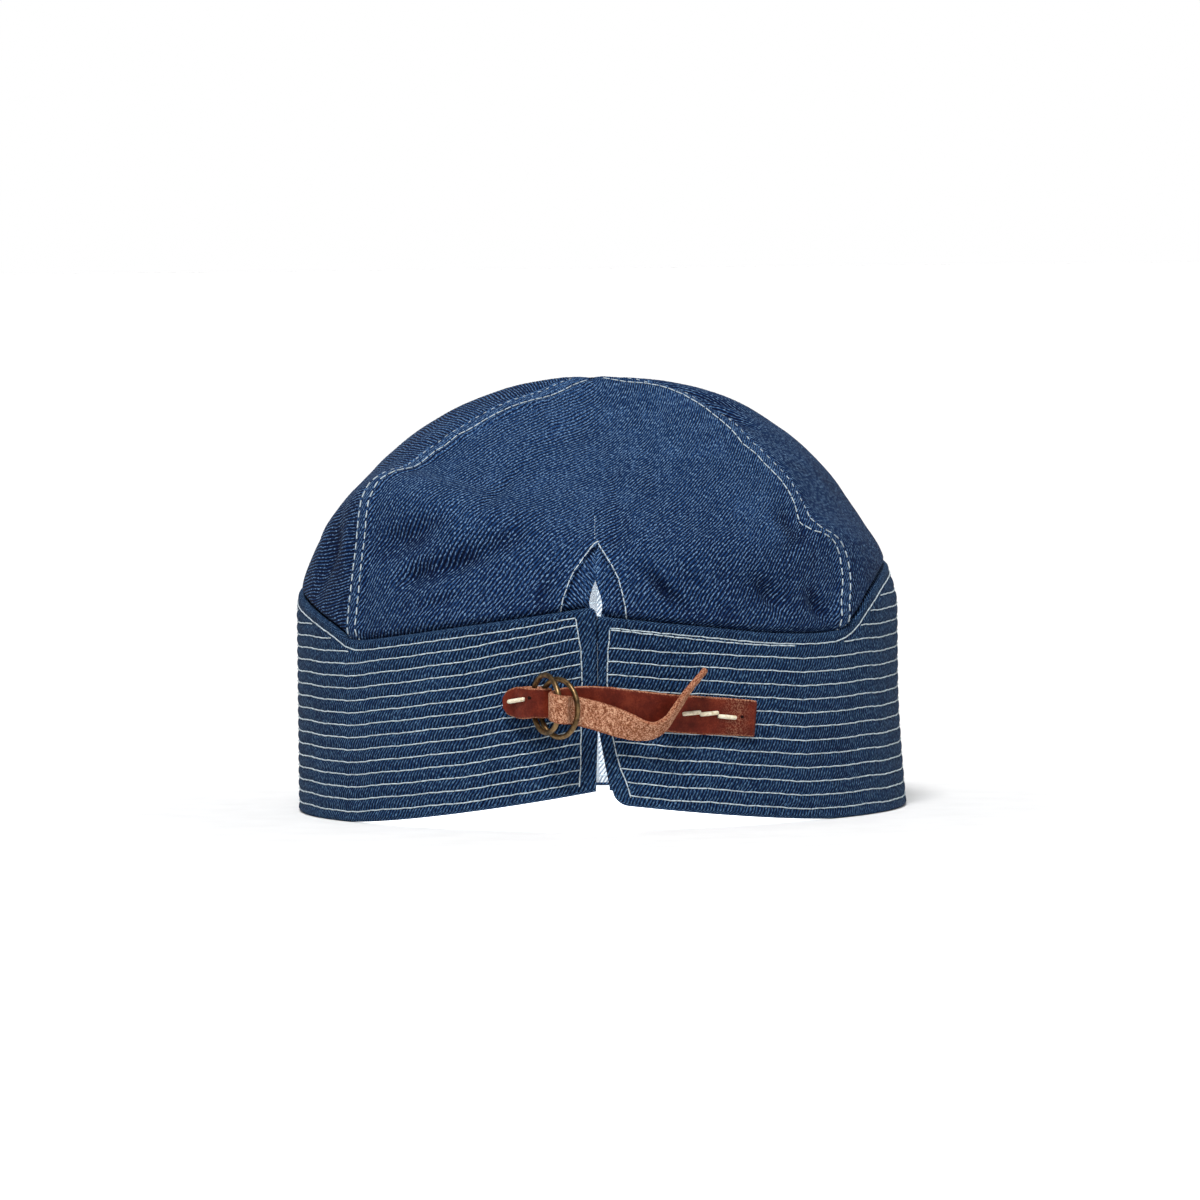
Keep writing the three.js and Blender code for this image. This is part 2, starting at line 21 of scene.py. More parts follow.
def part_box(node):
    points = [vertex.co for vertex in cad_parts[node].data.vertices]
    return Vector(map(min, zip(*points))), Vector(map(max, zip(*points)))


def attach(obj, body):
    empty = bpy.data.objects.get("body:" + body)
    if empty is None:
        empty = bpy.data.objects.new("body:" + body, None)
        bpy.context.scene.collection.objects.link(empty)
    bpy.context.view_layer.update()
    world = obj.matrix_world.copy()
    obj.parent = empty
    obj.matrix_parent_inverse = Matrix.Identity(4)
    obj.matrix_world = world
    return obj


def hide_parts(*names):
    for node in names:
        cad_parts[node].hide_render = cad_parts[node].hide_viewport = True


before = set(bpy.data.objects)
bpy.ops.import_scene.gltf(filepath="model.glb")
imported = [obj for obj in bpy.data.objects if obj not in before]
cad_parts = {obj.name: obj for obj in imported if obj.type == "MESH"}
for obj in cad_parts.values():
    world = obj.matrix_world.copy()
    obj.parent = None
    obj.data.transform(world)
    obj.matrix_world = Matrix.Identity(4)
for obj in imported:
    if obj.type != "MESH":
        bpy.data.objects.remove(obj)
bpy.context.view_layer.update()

LOG = logging.getLogger("work_cap")
MM = 0.001

Array = np.ndarray
Socket = bpy.types.NodeSocket
Adder = Callable[..., Socket]
Lay = Callable[[Array, Array], tuple[Array, Array, Array]]
Past = Callable[[Array, Array], Array]
Spread = Callable[[Array, Array, Array, Array], Array]


def smoothstep(at: Array, low: float, high: float) -> Array:
    """Eased share of the way from low to high."""
    share = np.clip((np.asarray(at, float) - low) / (high - low), 0.0, 1.0)
    return share * share * (3.0 - 2.0 * share)


def bump(at: Array, width: float) -> Array:
    """Bell curve that is 1 at zero and has faded by twice its width."""
    return np.exp(-((np.asarray(at, float) / width) ** 2))


def wrap(angle: Array) -> Array:
    """The same angle from -180 to 180 degrees."""
    return (angle + 180) % 360 - 180


def unit(rows: Array) -> Array:
    """Each row at length one."""
    return rows / np.linalg.norm(rows, axis=1, keepdims=True)


def own_side(angle: Array, left: Array) -> Array:
    """Angles kept on their own side of the split, where the edges step."""
    return np.where(left, np.minimum(angle, -0.01), np.maximum(angle, 0.0))


def row_of(share: Array, last: int) -> Array:
    """Number of the grid's row or column that a share of it stands for."""
    return np.clip(np.round(share * last).astype(int), 0, last)


def smooth_between(keys: Array, values: Array, at: Array) -> Array:
    """Smooth curve through the rows of a table.

    Args:
        keys: rising positions of the rows.
        values: one value for each row, or for each row one value for every place that is read.
        at: places to read, held between the first and the last row.

    Returns:
        The value at each place.
    """
    at = np.clip(np.asarray(at, float), keys[0], keys[-1])
    row = np.clip(np.searchsorted(keys, at, side="right") - 1, 0, len(keys) - 2)
    order = np.arange(len(keys))
    before, after = np.maximum(order - 1, 0), np.minimum(order + 1, len(keys) - 1)
    run = keys[after] - keys[before]
    slopes = (values[after] - values[before]) / (run if values.ndim == 1 else run[:, None])

    def pick(table: Array, index: Array) -> Array:
        """One entry of a table for each place."""
        return table[index] if table.ndim == 1 else table[index, np.arange(table.shape[1])]

    width = keys[row + 1] - keys[row]
    u = (at - keys[row]) / width
    low, high = pick(values, row), pick(values, row + 1)
    start = u * (1.0 - u) ** 2 * width * pick(slopes, row)
    end = u * u * (u - 1.0) * width * pick(slopes, row + 1)
    return low + (high - low) * u * u * (3.0 - 2.0 * u) + start + end


class Table:
    """Rows of named columns that are read smoothly between the rows."""

    def __init__(self, names: str, *rows: Sequence[float]) -> None:
        """Keeps each column under its name; the first column is the key.

        Args:
            names: the columns' names, with spaces between.
            rows: a value for each column.
        """
        self.columns = {
            name: np.array([row[i] for row in rows], float) for i, name in enumerate(names.split())
        }
        self.key = names.split()[0]

    def __getitem__(self, name: str) -> Array:
        """One whole column."""
        return self.columns[name]

    def read(self, name: str, at: Array) -> Array:
        """A column's value at each place along the key."""
        return smooth_between(self.columns[self.key], self.columns[name], at)


# Height of the band's upper edge round the cap; 0 degrees is the centre back, right is positive
BAND_TOP_LEFT = Table(
    "angle height",
    (-180, 75), (-125, 73.5), (-90, 66), (-74, 62.6), (-61, 57.8),
    (-54, 54.1), (-48, 54.1), (-22, 59.4), (0, 64.4),
)
BAND_TOP_RIGHT = Table(
    "angle height",
    (0, 61.6), (20, 58), (36, 55.3), (51, 54.9), (57, 57.6),
    (64, 64.2), (74, 69.8), (90, 72.8), (125, 74.6), (180, 75),
)
# How far the crown sags below a round dome along each section, by share of the way out from its peak
SAG = Table(
    "reach back left_seam right_seam side front_seam front",
    (0, 0, 0, 0, 0, 0, 0),
    (0.2, 8.6, 4.4, 1.4, 0.3, 1.4, 2.4),
    (0.4, 14.4, 4.8, 2.9, 0.7, 1.8, 3.8),
    (0.6, 15.2, 3.5, 5.2, 1.2, 1.4, 4),
    (0.75, 11.2, -0.6, 4.4, 1.5, 0.2, 2.8),
    (0.86, 4.9, -10.3, 1.3, 1.5, -1.6, 1.2),
    (0.925, -0.2, -14, -4.2, 0.7, -2.2, 0.2),
    (0.96, -1.4, -6.4, -6.8, 0, -1.4, 0),
    (1, 0, 0, 0, 0, 0, 0),
)
SAG_SECTIONS = {
    -180: "front", -128: "front_seam", -90: "side", -52: "left_seam", 0: "back",
    52: "right_seam", 90: "side", 128: "front_seam", 180: "front",
}
# Where the crown's seams run, as angles by share of the way out from the peak
SEAMS = Table(
    "reach left right front_left front_right",
    (0, -52, 52, -128, 128),
    (0.5, -52, 52, -128, 128),
    (0.6, -52, 51, -128, 128),
    (0.75, -52.2, 52, -128, 128),
    (0.84, -52.5, 50.2, -128, 128),
    (0.91, -53.2, 48.4, -128, 128),
    (0.94, -52.6, 49.6, -128, 128),
    (0.965, -52, 53.8, -128, 128),
    (0.985, -51.6, 54.2, -128, 128),
    (1, -51.6, 52.2, -128, 128),
)
# Soft dents and creases of the crown: centre, half lengths along and across, lean from level, depth
FOLDS = Table(
    "angle height along across lean depth",
    (-40, 84, 13, 4, 25, 1.8),
    (-34, 74, 11, 3.5, 12, 1.6),
    (-25, 80, 10, 3.5, 20, 1.2),
    (-68, 78, 12, 6, 75, 2),
    (46, 87, 7, 3.5, 20, 1.8),
    (33, 68, 9, 3.5, -35, 1.6),
    (20, 69, 10, 3, -40, 1.4),
    (46, 63, 6, 3, -50, 1.4),
    (62, 119, 9, 4, -20, 2),
    (118, 92, 16, 5, 18, 1.6),
    (-122, 96, 15, 5, -22, 1.6),
    (165, 90, 14, 5, 8, 1.4),
    (-45, 84, 5, 2.4, 10, 0.9),
    (-38, 73, 4.5, 2, 40, 0.9),
    (-28, 77, 7, 2, 14, 1.1),
    (-18, 83, 7, 2.6, 30, 0.9),
    (-9.5, 69, 7, 2.2, 70, 0.9),
    (-25, 97, 6, 1.8, 86, 0.6),
    (-31, 65.5, 8, 2, 16, 0.8),
    (-57, 80, 8, 2.6, 100, 1.1),
    (13.2, 69, 9, 1.9, -46, 2.6),
    (74, 122.5, 22, 2.6, -12, 2.2),
    (24, 66, 7, 2.2, -30, -0.8),
    (43, 81, 7, 2.4, 24, 1.1),
    (34.5, 67, 6, 1.7, -58, 1.1),
    (30, 72, 8, 2.4, -48, -0.7),
    (47, 62, 4.5, 1.6, -62, 0.9),
    (5, 94, 16, 3, 84, 0.5),
    (17, 100, 14, 3, 66, 0.5),
)
# Half widths of the vent's arch, and the two edges of the slit and teardrop in its facing
ARCH = Table(
    "height left right",
    (50, 10.4, 8.4),
    (61.9, 10, 7.9),
    (65.2, 9.6, 7.4),
    (68, 8.7, 6.9),
    (70.6, 7.8, 6.2),
    (73.2, 6.7, 5.4),
    (75.6, 5.2, 4.2),
    (79.2, 2.5, 2),
    (82.4, 0, 0),
)
DROP = Table(
    "height left right",
    (50, 0.5, -0.1),
    (59.8, 0.3, 0.1),
    (61.5, -1.2, 1.1),
    (63, -1.9, 1.4),
    (65.2, -2.3, 1.5),
    (67.5, -1.9, 1.1),
    (70.6, -0.9, 0),
    (72, -0.2, -0.3),
    (75, 0.3, -0.3),
    (90, 0.3, -0.3),
)


class Side(Enum):
    """Which side of the centre back a piece belongs to."""

    LEFT = -1
    RIGHT = 1


@dataclass(frozen=True)
class CapForm:
    """The cap's outer surfaces in millimetres, as functions of the angle from the centre back."""

    half_width: float = 90.0
    half_length: float = 99.0
    crown_base: float = 60.5
    crown_top: float = 128.9
    front_base_lift: float = 8.0
    side_roundness: float = 2.5
    top_roundness: float = 1.42
    right_lean: float = 1.8
    skirt_step: float = 60.0
    tuck_in: float = 3.0
    inset: float = 0.4
    puff_start: float = -0.8
    puff_height: float = 3.2
    hem_depth: float = 7.0
    flare: float = 2.2
    flare_top: float = 36.0
    left_hem: tuple[float, float, float] = (11.0, 56.0, 1.45)
    right_hem: tuple[float, float, float] = (7.6, 50.0, 1.35)
    corner: tuple[float, float, float] = (2.6, 3.0, 4.0)
    left_corner: tuple[float, float] = (1.5, 3.2)
    step_ease: float = 4.0
    fold_share: float = 1.4
    creases: tuple[tuple[float, float], ...] = ((0.7, 26.0), (0.3, 9.0))

    def hem(self, angle: Array, cornered: bool = True) -> Array:
        """Height of the band's lower edge, with or without the rounding of its right corner.

        Args:
            angle: degrees from the centre back.
            cornered: whether the right corner is rounded.

        Returns:
            Millimetres above the floor.
        """
        rise, reach, curve = self.left_hem
        left = rise * np.clip(1 + angle / reach, 0, None) ** curve
        rise, reach, curve = self.right_hem
        start, span, lift = self.corner
        corner = np.clip(1 - (angle - start) / span, 0, 1) * cornered
        right = rise * np.clip(1 - angle / reach, 0, None) ** curve + lift * (1 - np.sqrt(1 - corner**2))
        return np.where(angle < 0, left, right)

    def band_top(self, angle: Array) -> Array:
        """Height of the band's upper edge.

        Args:
            angle: degrees from the centre back.

        Returns:
            Millimetres above the floor.
        """
        left, right = BAND_TOP_LEFT.read("height", angle), BAND_TOP_RIGHT.read("height", angle)
        span, drop = self.left_corner
        corner = np.clip(1 + angle / span, 0, 1)
        return np.where(angle < 0, left - drop * (1 - np.sqrt(1 - corner**2)), right)

    def soft_top(self, angle: Array) -> Array:
        """Height of the upper edge with the step at the split eased, for the crown inside it."""
        left, right = BAND_TOP_LEFT.read("height", angle), BAND_TOP_RIGHT.read("height", angle)
        return left + (right - left) * smoothstep(angle, -self.step_ease, self.step_ease)

    def base(self, angle: Array) -> Array:
        """Height at which the dome starts, which lifts towards the front."""
        forward = smoothstep(-np.cos(np.radians(angle)), 0, 0.85)
        return self.crown_base + self.front_base_lift * forward

    def dome_reach(self, angle: Array, height: Array) -> Array:
        """Share of the full width that the round dome still has at a height.

        Args:
            angle: degrees from the centre back.
            height: millimetres above the rim.

        Returns:
            The share, from 0 to 1.
        """
        base = self.base(angle)
        rise = np.clip((height - base) / (self.crown_top - base), 0, 1)
        return (1 - rise**self.top_roundness) ** (1 / self.side_roundness)

    def sag(self, angle: Array, reach: Array) -> Array:
        """Sag below the round dome at any angle.

        Args:
            angle: degrees from the centre back.
            reach: share of the way out from the peak.

        Returns:
            Millimetres below the dome.
        """
        keys = np.array(list(SAG_SECTIONS), float)
        sections = np.array([SAG.read(name, reach) for name in SAG_SECTIONS.values()])
        return smooth_between(keys, sections, wrap(angle))

    def reach(self, along: Array) -> Array:
        """Share of the way out from the peak."""
        return np.sin(np.clip(along, 0, 1) * math.pi / 2) ** (2 / self.side_roundness)

    def radius(self, angle: Array, reach: Array) -> Array:
        """Millimetres in plan for one radian round the cap."""
        turn = np.radians(angle)
        return reach * np.hypot(self.half_width * np.cos(turn), self.half_length * np.sin(turn))

    def band(self, angle: Array, height: Array, inside: Array) -> Array:
        """A point of the band, a distance inside its outer face.

        Args:
            angle: degrees from the centre back.
            height: millimetres above the rim.
            inside: millimetres inside the outer face.

        Returns:
            One point a row.
        """
        turn = np.radians(angle)
        low = np.clip((self.flare_top - height) / self.flare_top, 0, 1)
        flare = self.flare * low**1.4 * np.clip(np.sin(turn), 0, None) ** 2
        reach = self.dome_reach(angle, height)
        x = ((self.half_width + flare) * reach - inside) * np.sin(turn)
        y = -(self.half_length * reach - inside) * np.cos(turn)
        return np.stack([x, y, height], axis=-1)

    def skin(self, angle: Array, along: Array) -> Array:
        """The crown's outer surface without its folds: along is 0 at the peak and 1 at the base.

        Args:
            angle: degrees from the centre back.
            along: share along the dome, 0 at the peak and 1 at its base.

        Returns:
            One point a row.
        """
        along = np.clip(along, 0, None)
        turn = np.minimum(along, 1) * math.pi / 2
        reach = self.reach(along)
        rise = np.clip(np.cos(turn), 0, None) ** (2 / self.top_roundness)
        base = self.base(angle)
        skirt = np.clip(along - 1, 0, None) * self.skirt_step
        height = base + (self.crown_top - base) * rise - self.sag(angle, reach) - skirt
        clear = height - self.soft_top(wrap(angle))
        free = smoothstep(clear, self.puff_start, self.puff_start + self.puff_height) ** 0.6
        dome = self.dome_reach(angle, height)

        def out(half: float) -> Array:
            """Distance out, from tucked inside the band to puffed out above it.

            Args:
                half: the dome's half width or half length.

            Returns:
                Millimetres from the axis.
            """
            open_ = (half - self.inset) * reach
            tucked = np.minimum(open_, half * dome - self.tuck_in)
            return tucked + (open_ - tucked) * free

        lean = self.right_lean * rise**2 * smoothstep(reach, 0, 0.35)
        x = out(self.half_width) * np.sin(np.radians(angle)) + lean
        y = -out(self.half_length) * np.cos(np.radians(angle))
        return np.stack([x, y, height], axis=-1)

    def crown(self, angle: Array, along: Array, lift: Array) -> Array:
        """The crown with its folds and soft creasing, lifted along its own normal.

        Args:
            angle: degrees from the centre back.
            along: 0 at the peak, 1 at the base of the dome.
            lift: millimetres out of the surface.

        Returns:
            One point a row.
        """
        point, normal = self.skin(angle, along), self.normal(angle, along)
        free = smoothstep(point[:, 2] - self.soft_top(wrap(angle)), 0, 6)
        creasing = np.array([
            sum(depth * noise.noise(Vector(p) / size) for depth, size in self.creases) for p in point
        ])
        creasing *= 1 - 0.6 * smoothstep(point[:, 2], 85, 112)
        depth = self.fold_depth(wrap(angle), point[:, 2])
        return point + normal * (lift + free * (creasing - depth))[:, None]

    def fold_depth(self, angle: Array, height: Array) -> Array:
        """Depth of the dents and creases together at a place.

        Args:
            angle: degrees from the centre back.
            height: millimetres above the rim.

        Returns:
            Millimetres into the surface.
        """
        depth = np.zeros(len(angle))
        for row in range(len(FOLDS["angle"])):
            fold = {name: FOLDS[name][row] for name in FOLDS.columns}
            across = wrap(angle - fold["angle"]) * math.radians(1) * self.half_width
            up = height - fold["height"]
            c, s = math.cos(math.radians(fold["lean"])), math.sin(math.radians(fold["lean"]))
            u, v = (across * c + up * s) / fold["along"], (up * c - across * s) / fold["across"]
            depth += self.fold_share * fold["depth"] * np.exp(-u * u - v * v)
        return depth

    def normal(self, angle: Array, along: Array) -> Array:
        """Outward direction of the crown's surface.

        Args:
            angle: degrees from the centre back.
            along: share along the dome, 0 at the peak and 1 at its base.

        Returns:
            One direction a row, of length one.
        """
        step, turn = 0.004, 0.5
        down = self.skin(angle, along + step) - self.skin(angle, np.clip(along - step, 0, None))
        normal = np.cross(down, self.skin(angle + turn, along) - self.skin(angle - turn, along))
        size = np.linalg.norm(normal, axis=1, keepdims=True)
        up = np.tile([0.0, 0.0, 1.0], (len(normal), 1))
        return np.where(size > 1e-9, normal / np.maximum(size, 1e-9), up)

    def along_at(self, angle: Array, height: Array) -> Array:
        """Share along the dome at which the surface has a height.

        Args:
            angle: degrees from the centre back.
            height: millimetres above the rim.

        Returns:
            The share at each place.
        """
        low, high = np.full(len(angle), 0.0), np.full(len(angle), 2.0)
        halvings = 32
        for _ in range(halvings):
            middle = (low + high) / 2
            above = self.skin(angle, middle)[:, 2] > height
            low, high = np.where(above, middle, low), np.where(above, high, middle)
        return low

    def hem_along(self, angle: Array) -> Array:
        """Share along the dome at which the crown ends, tucked inside the band.

        Args:
            angle: degrees from the centre back.

        Returns:
            The share at each angle.
        """
        turns = np.linspace(-180, 180, 361)
        ends = self.along_at(turns, self.soft_top(turns) - self.hem_depth)
        return np.interp(wrap(angle), turns, ends)

    def at_back(self, across: Array, height: Array) -> tuple[Array, Array]:
        """Angle and share along the dome for a place given by across and height in the back view.

        Args:
            across: millimetres right of the cap's axis.
            height: millimetres above the rim.

        Returns:
            The angles and the shares.
        """
        angle = np.degrees(np.arcsin(np.clip(across / self.half_width, -1, 1)))
        tries = 4
        for _ in range(tries):
            along = self.along_at(angle, height)
            miss = across - self.skin(angle, along)[:, 0]
            angle = angle + np.degrees(miss / np.maximum(self.radius(angle, self.reach(along)), 5))
        return angle, self.along_at(angle, height)


FORM = CapForm()
BAND_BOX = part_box("band")
# The cap's own axis stands a little left of the frame's, as its right side flares out more
AXIS_ACROSS = -1.0975
AXIS = Vector((AXIS_ACROSS * MM, (BAND_BOX[0].y + BAND_BOX[1].y) / 2, BAND_BOX[0].z))


def placed(points: Array) -> Array:
    """Millimetres on the cap's axis as metres in the frame."""
    return np.asarray(points, float) * MM + np.array(AXIS)


def seam_distance(name: str, angle: Array, reach: Array) -> Array:
    """Millimetres round the cap past a seam, counted with the angle."""
    return np.radians(wrap(angle - SEAMS.read(name, reach))) * FORM.radius(angle, reach)


def linear(colour: str) -> tuple[float, float, float, float]:
    """An sRGB hex colour as Blender's linear one."""
    parts = [int(colour[i : i + 2], 16) / 255 for i in (1, 3, 5)]
    return (*[p / 12.92 if p <= 0.04045 else ((p + 0.055) / 1.055) ** 2.4 for p in parts], 1.0)


def fill_sockets(tree: bpy.types.NodeTree, node: bpy.types.Node, links: dict[str | int, object]) -> None:
    """Gives a node's sockets what they take.

    Args:
        tree: the nodes that it is one of.
        node: the node.
        links: for a socket's name or number, another node's output or a plain value.
    """
    for socket, value in links.items():
        if isinstance(value, Socket):
            tree.links.new(value, node.inputs[socket])
        else:
            node.inputs[socket].default_value = value


def add_node(
    tree: bpy.types.NodeTree,
    kind: str,
    links: dict[str | int, object],
    output: str | int = 0,
    stops: Sequence[tuple[float, str]] = (),
    **settings: object,
) -> Socket:
    """Adds one node with its settings and links.

    Args:
        tree: the nodes that it joins.
        kind: its type, after the words that every type starts with.
        links: for a socket's name or number, another node's output or a plain value.
        output: the name or number of the output that is wanted.
        stops: places and colours of a colour ramp.
        settings: the node's own properties.

    Returns:
        The wanted output.
    """
    node = tree.nodes.new("ShaderNode" + kind)
    for name, value in settings.items():
        setattr(node, name, value)
    for number, (place, colour) in enumerate(stops):
        ramp = node.color_ramp.elements
        element = ramp[number] if number < len(ramp) else ramp.new(1.0)
        element.position, element.color = place, linear(colour)
    fill_sockets(tree, node, links)
    return node.outputs[output]


@dataclass(frozen=True)
class Finish:
    """What every finish shares: a name, a roughness, and the material that it is drawn in."""

    name: str
    roughness: float = 0.9

    def draw(self, add: Adder) -> dict[str, object]:
        """What the shader's sockets take, which each finish draws for itself."""
        raise NotImplementedError

    def material(self) -> bpy.types.Material:
        """Builds the material.

        Returns:
            The finish on a Principled shader.
        """
        material = bpy.data.materials.new(self.name)
        material.use_nodes = True
        tree = material.node_tree
        drawn = self.draw(partial(add_node, tree))
        fill_sockets(tree, tree.nodes["Principled BSDF"], {"Roughness": self.roughness, **drawn})
        return material


@dataclass(frozen=True)
class DenimTwill(Finish):
    """Cotton denim, woven as a 3/1 twill from indigo warp over undyed weft, then washed.

    The eye sees fine diagonal wales, pale flecks where the weft shows, streaks along the warp and
    paler cloth where folded edges have rubbed. On the crown the same tone also carries painted light
    and shade. Sizes are in millimetres.
    """

    shade: str = "#020c26"
    body: str = "#081e42"
    fleck: str = "#6787ab"
    rubbed: str = "#1c3e6a"
    wale: float = 1.08
    slope: float = 50.0
    flecks: float = 0.9
    wash: float = 0.3
    relief: float = 0.14
    wale_weight: float = 2.6
    yarn_weight: float = 1.7
    streak_weight: float = 1.5
    wear_and_light_weight: float = 0.55
    tones: tuple[float, float] = (1.05, 1.25)

    def draw(self, add: Adder) -> dict[str, object]:
        """Draws the twill on the piece's own cloth coordinates.

        Args:
            add: adds a node and gives its output.

        Returns:
            What the shader's sockets take.
        """
        cloth, place = add("UVMap", {}, uv_map="cloth"), add("TexCoord", {}, "Object")
        # Rows of a real cloth wander by a millimetre or two over some centimetres
        wander = add("TexNoise", {"Vector": cloth, "Scale": 0.09, "Detail": 1.0}, "Color")
        nudge = add("VectorMath", {0: wander, 1: (2.0, 2.0, 0.0)}, operation="MULTIPLY")
        moved = add("VectorMath", {0: cloth, 1: nudge}, operation="ADD")
        lean = (0.0, 0.0, math.radians(90 - self.slope))
        turned = add("Mapping", {"Vector": moved, "Rotation": lean})
        # At a scale of 1 a wave of this texture is pi / 10 wide
        waves = {"Scale": math.pi / 10 / self.wale, "Distortion": 0.45, "Detail": 2.0, "Detail Scale": 2.0}
        wales = add("TexWave", {"Vector": turned, **waves}, "Fac")
        # The wales stand out in patches a few millimetres wide and are washed flatter between them
        patches = add("TexNoise", {"Vector": place, "Scale": 130.0, "Detail": 2.0})
        kept = {"From Min": 0.36, "From Max": 0.64, "To Min": 0.72, "To Max": 1.4}
        stand_out = add("MapRange", {"Value": patches, **kept})
        centred = add("Math", {0: wales, 1: 0.5}, operation="SUBTRACT")
        wales = add("Math", {0: centred, 1: stand_out, 2: 0.5}, operation="MULTIPLY_ADD")

        def yarn(vector: Socket, width: float, length: float, detail: float) -> Socket:
            """Uneven yarns of a width and a length."""
            drawn = add("Mapping", {"Vector": vector, "Scale": (1 / width, 1 / length, 1.0)})
            return add("TexNoise", {"Vector": drawn, "Scale": 1.0, "Detail": detail, "Roughness": 0.65})

        # Yarns a third of a millimetre wide lie along the wales, broken where the weft ties them down
        yarns = yarn(turned, 0.34, 1.2, 2.0)
        # Thick and thin warp yarns run down the whole panel as streaks
        streaks = yarn(moved, 1.3, 22.0, 4.0)
        # Single crossings of pale weft, drawn at the size that still shows
        crossings = yarn(turned, 0.27, 1.0, 0.0)
        points = add("MapRange", {"Value": crossings, "From Min": 0.56, "From Max": 0.7})
        clouds = add("TexNoise", {"Vector": place, "Scale": 46.0, "Detail": 3.0, "Roughness": 0.6})
        weights = (self.wale_weight, self.yarn_weight, self.streak_weight, 4 * self.wash)
        tone, middle = 0.0, sum(weights) / 2
        for part, weight in zip((wales, yarns, streaks, clouds), weights):
            tone = add("Math", {0: part, 1: weight, 2: tone}, operation="MULTIPLY_ADD")
        # The attribute pales rubbed cloth; on the crown it also paints light, paler towards the peak, and
        # shade, darker in the folds and on the side panels
        wear_and_painted_light = add("Attribute", {}, "Fac", attribute_name="wear_and_painted_light")
        tone = add("Math", {0: wear_and_painted_light, 1: self.wear_and_light_weight, 2: tone}, operation="MULTIPLY_ADD")
        low, high = middle - self.tones[0], middle + self.tones[1]
        share = add("MapRange", {"Value": tone, "From Min": low, "From Max": high})
        dyed = add("ValToRGB", {0: share}, stops=((0.1, self.shade), (0.5, self.body), (1.0, self.rubbed)))
        shown = add("Math", {0: share, 1: self.flecks * 2.6, 2: -0.2}, operation="MULTIPLY_ADD")
        flecked = add("Math", {0: points, 1: shown}, operation="MULTIPLY", use_clamp=True)
        return {
            "Base Color": add("Mix", {0: flecked, 6: dyed, 7: linear(self.fleck)}, 2, data_type="RGBA"),
            "Normal": add("Bump", {"Height": tone, "Strength": 0.6, "Distance": self.relief * MM}),
            "Specular IOR Level": 0.1,
        }


@dataclass(frozen=True)
class CottonThread(Finish):
    """Undyed cotton sewing thread, plied and waxed: off-white, a little grey in its hollows."""

    pale: str = "#bfccd3"
    dull: str = "#8f9ca5"

    def draw(self, add: Adder) -> dict[str, object]:
        """Draws a mottled tone and a fine twist.

        Args:
            add: adds a node and gives its output.

        Returns:
            What the shader's sockets take.
        """
        mottle = add("TexNoise", {"Vector": add("TexCoord", {}, "Object"), "Scale": 900.0, "Detail": 2.0})
        return {
            "Base Color": add("ValToRGB", {0: mottle}, stops=((0.3, self.dull), (0.6, self.pale))),
            "Normal": add("Bump", {"Height": mottle, "Strength": 0.5, "Distance": 0.1 * MM}),
        }


@dataclass(frozen=True)
class TannedLeather(Finish):
    """Vegetable-tanned cowhide: grain side glazed and pebbled, flesh side or cut edge fibrous."""

    deep: str = "#45140a"
    body: str = "#591c10"
    high: str = "#702c1a"
    rubbed: str = "#b08064"
    grain: float = 0.7
    relief: float = 0.08
    fuzz: float = 0.0
    span: float = 0.5

    def draw(self, add: Adder) -> dict[str, object]:
        """Draws the hide: cloudy tone, pores or fibres at their real width, and their relief.

        Args:
            add: adds a node and gives its output.

        Returns:
            What the shader's sockets take.
        """
        place, fibrous = add("TexCoord", {}, "Object"), 0.4 + self.fuzz
        cloudy = {"Scale": 230.0 + 600.0 * self.fuzz, "Detail": 4.0, "Roughness": 0.7}
        clouds = add("TexNoise", {"Vector": place, **cloudy})
        pores = add("TexVoronoi", {"Vector": place, "Scale": 1000.0 / self.grain}, feature="F1")
        fibres = add("TexNoise", {"Vector": place, "Scale": 2300.0, "Detail": 2.0})
        tone = add("Math", {0: fibres, 1: fibrous, 2: clouds}, operation="MULTIPLY_ADD")
        low = 0.5 + (fibrous - self.span) / 2
        share = add("MapRange", {"Value": tone, "From Min": low, "From Max": low + self.span})
        hide = add("ValToRGB", {0: share}, stops=((0.05, self.deep), (0.5, self.body), (0.95, self.high)))
        # The glaze comes off in nibbles where the hide has rubbed
        wear_and_painted_light = add("Attribute", {}, "Fac", attribute_name="wear_and_painted_light")
        nibbled = add("MapRange", {"Value": fibres, "From Min": 0.46, "From Max": 0.6})
        shown = add("Math", {0: wear_and_painted_light, 1: nibbled}, operation="MULTIPLY", use_clamp=True)
        height = add("Math", {0: pores, 1: 0.6, 2: tone}, operation="MULTIPLY_ADD")
        return {
            "Base Color": add("Mix", {0: shown, 6: hide, 7: linear(self.rubbed)}, 2, data_type="RGBA"),
            "Normal": add("Bump", {"Height": height, "Strength": 0.8, "Distance": self.relief * MM}),
            "Specular IOR Level": 0.12 - 0.08 * self.fuzz,
        }


@dataclass(frozen=True)
class AgedBrass(Finish):
    """Drawn brass wire, chemically darkened and worn bright again on its outer curve."""

    bright: str = "#8a6f4c"
    dark: str = "#4f3f2c"

    def draw(self, add: Adder) -> dict[str, object]:
        """Draws patches of darker, rougher patina.

        Args:
            add: adds a node and gives its output.

        Returns:
            What the shader's sockets take.
        """
        cloudy = {"Vector": add("TexCoord", {}, "Object"), "Scale": 420.0, "Detail": 4.0, "Roughness": 0.7}
        patches = add("TexNoise", cloudy)
        return {
            "Base Color": add("ValToRGB", {0: patches}, stops=((0.36, self.dark), (0.6, self.bright))),
            "Roughness": add("MapRange", {"Value": patches, "To Min": 0.55, "To Max": 0.28}),
            "Normal": add("Bump", {"Height": patches, "Strength": 0.3, "Distance": 0.06 * MM}),
            "Metallic": 1.0,
        }


